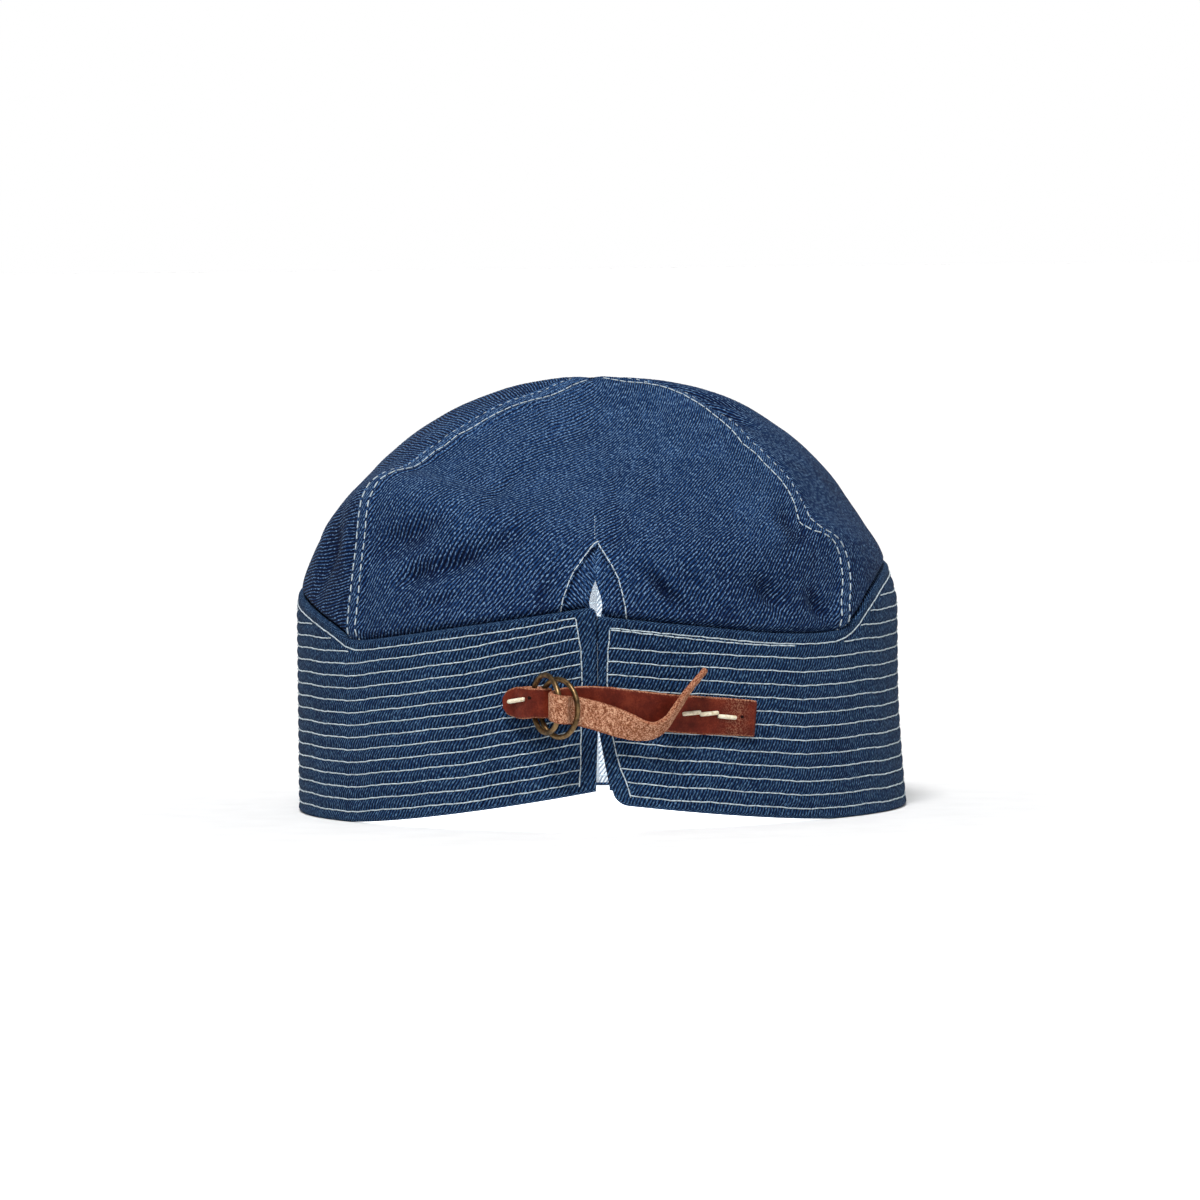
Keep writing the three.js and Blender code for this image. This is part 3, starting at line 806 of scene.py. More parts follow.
@dataclass(frozen=True)
class MattePaper(Finish):
    """Wide roll of matte studio paper, near white with a faint tooth."""

    body: str = "#eeeeee"
    tooth: str = "#e9e9e9"

    def draw(self, add: Adder) -> dict[str, object]:
        """Draws a barely uneven tone.

        Args:
            add: adds a node and gives its output.

        Returns:
            What the shader's sockets take.
        """
        tone = add("TexNoise", {"Vector": add("TexCoord", {}, "Object"), "Scale": 60.0, "Detail": 3.0})
        colour = add("ValToRGB", {0: tone}, stops=((0.3, self.tooth), (0.7, self.body)))
        return {"Base Color": colour, "Specular IOR Level": 0.05}


def warped_grid(columns: int, rows: int, lay: Lay) -> bmesh.types.BMesh:
    """A grid whose vertices are laid by a function of their two shares.

    Args:
        columns: divisions across.
        rows: divisions along.
        lay: gives each vertex's place in millimetres on the cap's axis, its place on the flat cloth
        in millimetres, for the weave, and how rubbed it is, from 0 to 1; on the crown this also carries
        painted light and shade.

    Returns:
        The mesh, with a UV map named cloth and an attribute of wear and painted light.
    """
    mesh = bmesh.new()
    flat_map = mesh.loops.layers.uv.new("cloth")
    # The layer holds wear, and on the crown painted light and shade as well
    rubbed = mesh.verts.layers.float.new("wear_and_painted_light")
    bmesh.ops.create_grid(mesh, x_segments=columns, y_segments=rows, size=0.5)
    share = np.array([v.co[:2] for v in mesh.verts]) + 0.5
    points, flat, worn = lay(share[:, 0], share[:, 1])
    for vertex, point, value in zip(mesh.verts, placed(points), worn):
        vertex.co = point
        vertex[rubbed] = value
    mesh.verts.index_update()
    for face in mesh.faces:
        for loop in face.loops:
            loop[flat_map].uv = flat[loop.vert.index]
    return mesh


def merge(*parts: bmesh.types.BMesh) -> bmesh.types.BMesh:
    """One mesh of several, which are freed.

    Args:
        parts: the meshes.

    Returns:
        The whole.
    """
    whole = bmesh.new()
    for part in parts:
        held = bpy.data.meshes.new("held")
        part.to_mesh(held)
        part.free()
        whole.from_mesh(held)
        bpy.data.meshes.remove(held)
    return whole


def close_and_orient(mesh: bmesh.types.BMesh, distance: float = 0.01) -> bmesh.types.BMesh:
    """Merges what touches, drops what collapsed, and turns the faces outwards.

    Args:
        mesh: the mesh, which is changed.
        distance: millimetres within which vertices merge.

    Returns:
        The same mesh.
    """
    bmesh.ops.remove_doubles(mesh, verts=mesh.verts, dist=distance * MM)
    bmesh.ops.dissolve_degenerate(mesh, dist=distance * MM * 0.1, edges=mesh.edges)
    bmesh.ops.recalc_face_normals(mesh, faces=mesh.faces)
    return mesh


def face_outwards(mesh: bmesh.types.BMesh) -> bmesh.types.BMesh:
    """Closes an open cloth and turns its faces from the cap's middle, which its shape doesn't settle.

    Args:
        mesh: the mesh, which is changed.

    Returns:
        The same mesh.
    """
    close_and_orient(mesh)
    mesh.normal_update()
    middle = Vector(placed([0.0, 0.0, 40.0]))
    inward = [f for f in mesh.faces if f.normal.dot(f.calc_center_median() - middle) < 0]
    if 2 * len(inward) > len(mesh.faces):
        bmesh.ops.reverse_faces(mesh, faces=mesh.faces)
    return mesh


def linked(name: str, data: bpy.types.ID) -> bpy.types.Object:
    """A new object in the scene.

    Args:
        name: its plain name.
        data: its mesh, lamp or camera.

    Returns:
        The object.
    """
    made = bpy.data.objects.new(name, data)
    bpy.context.scene.collection.objects.link(made)
    return made


def make_piece(
    name: str,
    mesh: bmesh.types.BMesh,
    materials: Sequence[bpy.types.Material],
    nodes: Sequence[str] = (),
    wall: float = 0.0,
) -> None:
    """Makes an object of a mesh, dresses it and lets it ride on the cap.

    Args:
        name: the piece's plain name.
        mesh: its shape, which is freed.
        materials: what its faces point to; a wall's inner face takes the second and its rim the first.
        nodes: the solids that it stands for.
        wall: thickness to give it inwards, in millimetres.
    """
    data = bpy.data.meshes.new(name)
    for polygon in mesh.faces:
        polygon.smooth = True
    mesh.to_mesh(data)
    mesh.free()
    for material in materials:
        data.materials.append(material)
    piece = linked(name, data)
    if wall:
        thick = piece.modifiers.new("wall", "SOLIDIFY")
        thick.thickness, thick.offset = wall * MM, -1.0
        thick.material_offset = 1
        thick.use_even_offset = False
    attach(piece, "root")
    if nodes:
        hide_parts(*nodes)
    LOG.info("%s: %d faces", name, len(data.polygons))


class Stitch(Enum):
    """Kinds of stitches: length, pitch, radius and height above the cloth, in millimetres."""

    BAND = (3.05, 3.0, 0.2, 0.08)
    SEAM_HIGH = (2.7, 3.1, 0.19, 0.08)
    SEAM_LOW = (2.2, 3.1, 0.21, 0.08)
    SEAM_SUNK = (1.3, 3.1, 0.14, 0.0)
    ARCH = (2.5, 2.6, 0.18, 0.06)
    TACK = (0.7, 1.7, 0.1, 0.0)
    LEATHER = (6.0, 20.0, 0.62, 0.25)
    # An awl hole is a bead sunk into the hide and drawn near-black: painted shade
    AWL_HOLE = (1.1, 20.0, 0.5, -0.25)


@dataclass
class Stitching:
    """Rows of separate stitches, each a small rounded length of thread laid on the cloth."""

    kind: Stitch = Stitch.BAND
    sides: int = 6
    rings: int = 5
    bluntness: float = 0.45
    made: bmesh.types.BMesh = field(default_factory=bmesh.new)

    def __post_init__(self) -> None:
        """Shapes the one stitch that is copied: a sphere drawn out until only its ends are round."""
        shape = bmesh.new()
        bmesh.ops.create_uvsphere(shape, u_segments=self.sides, v_segments=self.rings, radius=1.0)
        for vertex in shape.verts:
            swell = 1.0 - 0.35 * abs(vertex.co.z) ** 6
            ring = math.hypot(vertex.co.x, vertex.co.y)
            if ring > 1e-6:
                vertex.co.x, vertex.co.y = vertex.co.x / ring * swell, vertex.co.y / ring * swell
            vertex.co.z = math.copysign(abs(vertex.co.z) ** self.bluntness, vertex.co.z)
        self.template = bpy.data.meshes.new("stitch")
        shape.to_mesh(self.template)
        shape.free()

    def add_row(self, points: Array, normals: Array) -> None:
        """Lays one row of stitches along a line on the cloth.

        Args:
            points: the line, in millimetres on the cap's axis.
            normals: the cloth's outward direction at each point.
        """
        run = np.concatenate([[0.0], np.cumsum(np.linalg.norm(np.diff(points, axis=0), axis=1))])
        length, pitch, radius, proud = self.kind.value
        count = max(1, int(run[-1] / pitch))
        at = (np.arange(count) + 0.5) * run[-1] / count

        def read(table: Array, where: Array) -> Array:
            """A table of three columns at some lengths along the row."""
            return np.stack([np.interp(where, run, table[:, k]) for k in range(3)], axis=-1)

        reach = 0.4 * min(length, run[-1])
        before, after, face = read(points, at - reach), read(points, at + reach), unit(read(normals, at))
        centres = placed((before + after) / 2 + face * proud)
        for i in range(count):
            wobble = 0.07 * math.sin(i * 2.4 + run[-1])
            along = Vector(after[i] - before[i]).normalized()
            out = Vector(face[i])
            along = (along + along.cross(out) * wobble).normalized()
            side = along.cross(out).normalized()
            half = length / 2 * (1 + 0.05 * math.sin(i * 1.7 + run[-1] * 3)) * MM
            turned = Matrix((side, side.cross(along) * -1, along)).transposed().to_4x4()
            size = Matrix.Diagonal((radius * MM, radius * MM, half, 1.0))
            to = Matrix.Translation(Vector(centres[i])) @ turned @ size
            self.template.transform(to)
            self.made.from_mesh(self.template)
            self.template.transform(to.inverted())

    def finish(self, name: str, thread: bpy.types.Material) -> None:
        """Makes one object of all the rows.

        Args:
            name: the piece's plain name.
            thread: what the stitches are made of.
        """
        bpy.data.meshes.remove(self.template)
        bmesh.ops.recalc_face_normals(self.made, faces=self.made.faces)
        make_piece(name, self.made, [thread])


@dataclass
class Cloths:
    """The cap's finishes, made once and shared by its sub-assemblies."""

    crown: bpy.types.Material
    band: bpy.types.Material
    back_of_cloth: bpy.types.Material
    thread: bpy.types.Material
    thick_thread: bpy.types.Material
    grain: bpy.types.Material
    suede: bpy.types.Material
    cut_edge: bpy.types.Material
    painted_hole_shade: bpy.types.Material
    brass: bpy.types.Material

    @classmethod
    def make(cls) -> "Cloths":
        """Builds every finish.

        Returns:
            The whole set.
        """
        finishes = {
            "crown": DenimTwill("washed denim twill, woven"),
            "band": DenimTwill(
                "unwashed denim twill, woven",
                shade="#020c22",
                body="#081d3b",
                fleck="#527292",
                rubbed="#1e3d62",
                wale=1.0,
                slope=62.0,
                flecks=1.05,
                wash=0.25,
                relief=0.12,
            ),
            "back_of_cloth": DenimTwill(
                "denim twill, weft side",
                shade="#6c7683",
                body="#98a1aa",
                fleck="#d8dadb",
                rubbed="#bfc4c8",
                slope=128.0,
            ),
            "thread": CottonThread("cotton sewing thread, plied", 0.8),
            "thick_thread": CottonThread("waxed linen thread, plied", 0.6, "#ece3cd", "#cbb992"),
            "grain": TannedLeather("cowhide, glazed grain side", 0.42),
            "suede": TannedLeather(
                "cowhide, flesh side",
                0.95,
                *("#6e3f2b", "#a26c51", "#d2a486"),
                grain=1.1,
                relief=0.25,
                fuzz=1.0,
            ),
            "cut_edge": TannedLeather(
                "cowhide, raw cut edge",
                0.85,
                *("#5a2a1c", "#8a5039", "#b07c5e"),
                grain=0.5,
                relief=0.12,
                fuzz=0.6,
            ),
            # Near-black finish for the awl holes: painted shade
            "painted_hole_shade": TannedLeather("awl hole, painted shade", 0.9, "#140704", "#1c0a06", "#260f09"),
            "brass": AgedBrass("brass wire, darkened", 0.4),
        }
        return cls(**{use: finish.material() for use, finish in finishes.items()})


@dataclass(frozen=True)
class Panel:
    """One crown panel between two seams, lapped over its neighbours or tucked under them."""

    name: str
    node: str
    centre: float
    start: str
    end: str
    lapped: bool
    columns: int
    rows: int
    turned: float = 0.0


@dataclass
class Crown:
    """Four panels joined by flat-felled seams: back and front lap over the two sides."""

    cloths: Cloths
    cloth: float = 0.8
    fell: float = 5.6
    row_gap: float = 4.3
    lift: float = 1.0
    groove: float = 0.32
    under: float = 0.8
    strip: float = 3.4
    strip_share: float = 0.17
    arch_apex: float = 82.4
    arch_foot: float = 60.0
    arch_row: float = 0.55
    arch_steps: int = 60
    arch_skipped: int = 4
    tack: tuple[float, float] = (83.4, 90.0)
    tack_across: float = -0.4
    tack_steps: int = 24
    shoulder: float = 0.62
    # Painted shade: the tucked side panels are toned darker than the lapped ones
    side_painted_shade: float = -0.6
    row_width: float = 0.6
    pucker: float = 0.22
    pucker_reach: float = 5.0
    turned_edge: float = 3.2
    thread_above: float = 0.12
    run_turns: int = 72
    run_steps: int = 160
    run_end: float = 1.6
    rounds: int = 12
    line_rounds: int = 3
    line_steps: int = 420
    widest: float = 89.5
    back: Panel = Panel("crown_back_panel", "crown_back", 0.0, "left", "right", True, 92, 150)
    panels: tuple[Panel, ...] = (
        Panel("crown_side_panel_right", "crown_right", 90.0, "right", "front_right", False, 84, 116, -42.0),
        Panel("crown_front_panel", "crown_front", 180.0, "front_right", "front_left", True, 120, 116),
        Panel("crown_side_panel_left", "crown_left", -90.0, "front_left", "left", False, 84, 116, 42.0),
    )

    def relief(self, past: Array, lapped: bool, angle: Array, along: Array) -> Array:
        """Height of the cloth over the bare surface beside a seam.

        Args:
            past: millimetres past the seam, away from the lapped panel's middle.
            lapped: whether this is the panel on top.
            angle: degrees from the centre back.
            along: share along the dome.

        Returns:
            Millimetres out of the surface.
        """
        pucker = self.pucker * np.sin(along * 46 + np.sin(along * 17) * 2.0 + angle * 0.02)
        if not lapped:
            return -0.3 * bump(past - self.fell - 0.8, 1.3) + pucker * bump(past - self.fell, 4)
        lift = self.lift * (0.15 + 0.85 * smoothstep(FORM.reach(along), 0.08, 0.35))
        fallen = 0.5 * smoothstep(past, self.fell - 0.5, self.fell)
        raised = lift * (smoothstep(past, -self.turned_edge, 0.4) - fallen)
        rows = self.groove * (bump(past, self.row_width) + bump(past - self.row_gap, self.row_width))
        return raised - rows + pucker * bump(past, self.pucker_reach)

    def __post_init__(self) -> None:
        """Measures how far the cloth runs from the base of the dome, in steps round and down it."""
        turns = np.linspace(-180, 180, self.run_turns + 1)
        steps = np.linspace(0, self.run_end, self.run_steps + 1)
        lines = FORM.skin(np.repeat(turns, len(steps)), np.tile(steps, len(turns)))
        pieces = np.diff(lines.reshape(len(turns), len(steps), 3), axis=1)
        self.runs = np.pad(np.cumsum(np.linalg.norm(pieces, axis=2), axis=1), ((0, 0), (1, 0)))
        base = round(self.run_steps / self.run_end)
        self.runs -= self.runs[:, base : base + 1]
        # Near the peak the lines meet, so they take one common length there
        common = self.runs.mean(axis=0)
        self.runs = common + (self.runs - common) * smoothstep(steps, 0.05, 0.45)

    def flat(self, angle: Array, along: Array, centre: float) -> Array:
        """Place on the flat cloth, in millimetres across and up from the base of the dome.

        Args:
            angle: degrees from the centre back.
            along: share along the dome, 0 at the peak and 1 at its base.
            centre: the panel's middle, in degrees.

        Returns:
            One flat place a row.
        """
        across = np.radians(wrap(angle - centre)) * FORM.radius(angle, FORM.reach(along))
        a = ((angle + 180) % 360) / (360 / self.run_turns)
        b = np.clip(along, 0, self.run_end - 0.01) * (self.run_steps / self.run_end)
        i, j = np.minimum(a.astype(int), self.run_turns - 1), b.astype(int)
        near, far = (
            self.runs[k, j] + (self.runs[k, j + 1] - self.runs[k, j]) * (b - j) for k in (i, i + 1)
        )
        return np.stack([across, (a - i - 1) * near - (a - i) * far], axis=-1)

    def laid(self, panel: Panel, first: float, spread: Spread, past: Past) -> bmesh.types.BMesh:
        """A panel's outer surface from seam to seam.

        Args:
            panel: the panel.
            first: an angle inside it, from which each vertex's angle is found.
            spread: angle for a share across, as the angle, share along and share out stand so far.
            past: millimetres past the nearer seam, away from the lapped panel's middle.

        Returns:
            The surface, open at its edges.
        """
        c, s = math.cos(math.radians(panel.turned)), math.sin(math.radians(panel.turned))

        def lay(across: Array, down: Array) -> tuple[Array, Array, Array]:
            """Where the cloth lies, where it lay flat, and its painted light and shade with the rubbed fold
            edge.

            Args:
                across: share across the panel.
                down: share from the peak to the hem.

            Returns:
                The points, their flat places, and their wear with painted light and shade.
            """
            angle = np.full(len(across), first)
            for _ in range(self.rounds):
                along = FORM.hem_along(angle) * down
                reach = FORM.reach(along)
                angle = spread(across, angle, along, reach)
            away = past(angle, reach)
            point = FORM.crown(angle, along, self.relief(away, panel.lapped, angle, along))
            flat = self.flat(angle, along, panel.centre) @ np.array([[c, s], [-s, c]])
            # Painted light and shade: the tone is paler towards the peak, darker in the folds and darker on
            # the tucked side panels; beside the seams the lapped fold edges are rubbed paler
            worn = self.rubbed(away) if panel.lapped else self.side_painted_shade
            return point, flat, self.painted_top_light_and_fold_shade(angle, along) + worn

        return warped_grid(panel.columns, panel.rows, lay)

    def whole(self, panel: Panel) -> bmesh.types.BMesh:
        """A panel without a vent, with an even strip of narrow cells beside each seam.

        Args:
            panel: the panel.

        Returns:
            Its surface.
        """
        low, high = self.strip_share, 1 - self.strip_share

        def spread(across: Array, angle: Array, along: Array, reach: Array) -> Array:
            """Angle of a share across.

            Args:
                across: share across the panel.
                angle: degrees from the centre back.
                along: not used.
                reach: share of the way out from the peak.

            Returns:
                The better angle.
            """
            radius = np.maximum(FORM.radius(angle, reach), 0.5)
            start, end = (wrap(SEAMS.read(name, reach) - panel.centre) for name in (panel.start, panel.end))
            edge = np.degrees((self.fell if panel.lapped else -self.under) / radius)
            inner = np.degrees((-self.strip if panel.lapped else -self.under - 3) / radius)
            start_edge = np.minimum(np.maximum(start - edge, -self.widest), -0.5)
            end_edge = np.maximum(np.minimum(end + edge, self.widest), 0.5)
            start_in = np.maximum(np.minimum(start - inner, -1), start_edge)
            end_in = np.minimum(np.maximum(end + inner, 1), end_edge)
            turned = np.where(
                across < low,
                start_edge + (start_in - start_edge) * across / low,
                np.where(
                    across > high,
                    end_in + (end_edge - end_in) * (across - high) / low,
                    start_in + (end_in - start_in) * (across - low) / (high - low),
                ),
            )
            return panel.centre + turned

        def past(angle: Array, reach: Array) -> Array:
            """Millimetres past the nearer seam.

            Args:
                angle: degrees from the centre back.
                reach: share of the way out from the peak.

            Returns:
                The distance, outwards from a lapped panel and inwards from a tucked one.
            """
            before = -seam_distance(panel.start, angle, reach)
            after = seam_distance(panel.end, angle, reach)
            return np.maximum(before, after) * (1 if panel.lapped else -1)

        return face_outwards(self.laid(panel, panel.centre, spread, past))

    def half_back(self, side: Side) -> bmesh.types.BMesh:
        """Half of the back panel, from the vent's arch or the centre line out to the lapped edge.

        Args:
            side: which side of the centre back it is on.

        Returns:
            Its surface, open at its edges.
        """
        seam = side.name.lower()
        low = 1 - 1.6 * self.strip_share

        def spread(across: Array, angle: Array, along: Array, reach: Array) -> Array:
            """Angle of a share across, crowded towards the arch.

            Args:
                across: share from the middle to the seam.
                angle: degrees from the centre back.
                along: share along the dome, 0 at the peak and 1 at its base.
                reach: share of the way out from the peak.

            Returns:
                The better angle.
            """
            radius = np.maximum(FORM.radius(angle, reach), 0.5)
            height = FORM.skin(angle, along)[:, 2]
            half = np.where((height < self.arch_apex) & (along >= 0.5), ARCH.read(seam, height), 0.0)
            sine = half / (FORM.half_width * np.maximum(reach, 0.3))
            edge = np.degrees(np.arcsin(np.clip(sine, 0, 0.5)))
            out = np.abs(SEAMS.read(seam, reach))
            last = np.minimum(out + np.degrees(self.fell / radius), self.widest)
            inner = np.clip(out - np.degrees(self.strip / radius), edge + 0.2, last)
            turned = np.where(
                across > low,
                inner + (last - inner) * (across - low) / (1 - low),
                edge + (inner - edge) * np.clip(across / low, 0, 1) ** 1.25,
            )
            return side.value * turned

        def past(angle: Array, reach: Array) -> Array:
            """Millimetres past the seam."""
            return side.value * seam_distance(seam, angle, reach)

        return self.laid(self.back, side.value * 10.0, spread, past)

    def painted_top_light_and_fold_shade(self, angle: Array, along: Array) -> Array:
        """Painted light and shade in the cloth's tone: paler towards the peak, as if lit from above, and
        darker in the dents and creases.
        """
        height = FORM.skin(angle, along)[:, 2]
        return 0.9 * smoothstep(height, 58, 112) - 0.3 - 0.42 * FORM.fold_depth(wrap(angle), height)

    def rubbed(self, past: Array) -> Array:
        """How rubbed a lapped panel is beside its seam."""
        return 0.55 * smoothstep(past, 0.3, 1.2) + 0.4 * smoothstep(past, self.fell - 1, self.fell)

    def seam_line(
        self, seam: str, offset: float, start: float = 0.0, end: float = 1.25
    ) -> tuple[Array, Array]:
        """Points and normals of one row of stitches beside a seam.

        Args:
            seam: the seam's column.
            offset: millimetres past it, away from the lapped panel.
            start: share along the dome at which the row starts.
            end: share along the dome at which it ends.

        Returns:
            The line and the cloth's outward direction.
        """
        along = np.linspace(start, end, self.line_steps)
        side = 1.0 if seam in ("right", "front_left") else -1.0
        reach = FORM.reach(along)
        seam_angle = angle = SEAMS.read(seam, reach)
        for _ in range(self.line_rounds):
            angle = seam_angle + side * np.degrees(offset / np.maximum(FORM.radius(angle, reach), 0.5))
        # Rows beside the back seams keep to the back half of the cap, and the others to the front half
        limit = np.where(np.abs(seam_angle) < 90, 88 - np.abs(angle), np.abs(angle) - 92)
        height = FORM.skin(angle, along)[:, 2]
        shown = (limit > 0) & (reach > 0.03) & (height > FORM.soft_top(wrap(angle)) - 1.5)
        angle, along = angle[shown], along[shown]
        relief = self.relief(np.full(len(angle), offset), True, angle, along)
        return FORM.crown(angle, along, relief + self.thread_above), FORM.normal(angle, along)

    def arch_line(self, outside: float) -> tuple[Array, Array]:
        """Points and normals of a row of stitches round the vent, a distance outside its edge.

        Args:
            outside: millimetres outside the vent's edge.

        Returns:
            The line and the cloth's outward direction.
        """
        # A few steps next to the apex are left out on each side, so that the row turns there in one
        up = np.linspace(self.arch_foot, self.arch_apex, self.arch_steps)[: -self.arch_skipped]
        heights = np.concatenate([up, [self.arch_apex + 1.3 * outside], up[::-1]])
        left, right = -ARCH.read("left", up) - outside, ARCH.read("right", up) + outside
        across = np.concatenate([left, [0.0], right[::-1]])
        angle, along = FORM.at_back(across, heights)
        return FORM.crown(angle, along, np.full(len(angle), 0.1)), FORM.normal(angle, along)

    def mark_line(self, low: float, high: float) -> tuple[Array, Array]:
        """Points and normals of the short tacking row that runs up from the vent.

        Args:
            low: the height of its foot.
            high: the height of its head.

        Returns:
            The line and the cloth's outward direction.
        """
        across = np.full(self.tack_steps, self.tack_across)
        angle, along = FORM.at_back(across, np.linspace(low, high, self.tack_steps))
        return FORM.crown(angle, along, np.full(len(angle), 0.05)), FORM.normal(angle, along)

    def build(self) -> None:
        """Makes the panels and their topstitching."""
        walls = [self.cloths.crown, self.cloths.back_of_cloth]
        halves = face_outwards(merge(*[self.half_back(side) for side in Side]))
        make_piece(self.back.name, halves, walls, [self.back.node], self.cloth)
        for panel in self.panels:
            make_piece(panel.name, self.whole(panel), walls, [panel.node], self.cloth)
        rows = Stitching()
        for seam in ("left", "right", "front_left", "front_right"):
            rows.kind = Stitch.SEAM_HIGH
            rows.add_row(*self.seam_line(seam, 0.0, 0.0, self.shoulder))
            rows.kind = Stitch.SEAM_LOW
            rows.add_row(*self.seam_line(seam, 0.0, self.shoulder))
            rows.add_row(*self.seam_line(seam, self.row_gap, self.shoulder))
            # Above the shoulder the outer row is drawn tight and shows as small sunk dots
            rows.kind = Stitch.SEAM_SUNK
            rows.add_row(*self.seam_line(seam, self.row_gap, 0.0, self.shoulder))
        rows.kind = Stitch.ARCH
        rows.add_row(*self.arch_line(self.arch_row))
        rows.kind = Stitch.TACK
        rows.add_row(*self.mark_line(*self.tack))
        rows.finish("crown_topstitching", self.cloths.thread)


@dataclass
class VentFacing:
    """Two flaps of denim behind the arch that meet in a slit and part in a teardrop."""

    cloths: Cloths
    behind: float = 1.05
    left_roll: float = 0.6
    foot_ease: tuple[float, float] = (56.0, 64.0)
    columns: int = 34
    rows: int = 66
    cloth: float = 0.8
    side_reach: float = 14.0
    foot: float = 54.0
    head: float = 87.0

    def flap(self, side: Side) -> bmesh.types.BMesh:
        """One flap from behind the crown to the slit's edge.

        Args:
            side: which side of the centre back it is on.

        Returns:
            Its surface.
        """
        column = side.name.lower()

        def lay(across: Array, up: Array) -> tuple[Array, Array, Array]:
            """Where the cloth lies, rolled inwards at the slit, its mirrored weave and its rubbed edge.

            Args:
                across: share from the slit outwards.
                up: share from foot to head.

            Returns:
                The points, their flat places and their wear.
            """
            height = self.foot + (self.head - self.foot) * up
            edge = DROP.read(column, height)
            x = edge + (side.value * self.side_reach - edge) * across**1.3
            angle, along = FORM.at_back(x, height)
            rolled = 0.5 * bump(x - edge, 0.9) + (side is Side.LEFT) * self.left_roll * bump(x - edge, 2.0)
            # Its foot comes outwards again, to close against the band
            behind = (self.behind + rolled) * (0.25 + 0.75 * smoothstep(height, *self.foot_ease))
            turn = np.radians(angle)
            inwards = np.stack([-np.sin(turn), np.cos(turn), np.zeros(len(x))], axis=-1)
            point = FORM.crown(angle, along, np.zeros(len(x))) + inwards * behind[:, None]
            worn = 0.7 * bump(x - edge - side.value * 0.8, 0.8)
            return point, np.stack([side.value * x, height], axis=-1), worn

        return face_outwards(warped_grid(self.columns, self.rows, lay))

    def build(self) -> None:
        """Makes both flaps."""
        flaps = merge(*[self.flap(side) for side in Side])
        walls = [self.cloths.crown, self.cloths.back_of_cloth]
        make_piece("vent_flaps", flaps, walls, ["vent_facing"], self.cloth)


# Where the upright end rows of the band run, across by height, beside the split
END_ROWS = Table(
    "height left right",
    (0, -6.4, 10.4),
    (11.3, -5.8, 8.7),
    (16.5, -5.3, 6.7),
    (22.9, -5.1, 4.9),
    (27.3, -5, 4.2),
    (41.7, -4.6, 2.8),
    (51.5, -4.8, 3.1),
    (58.2, -5.8, 3.7),
    (62, -6.3, 3.9),
)


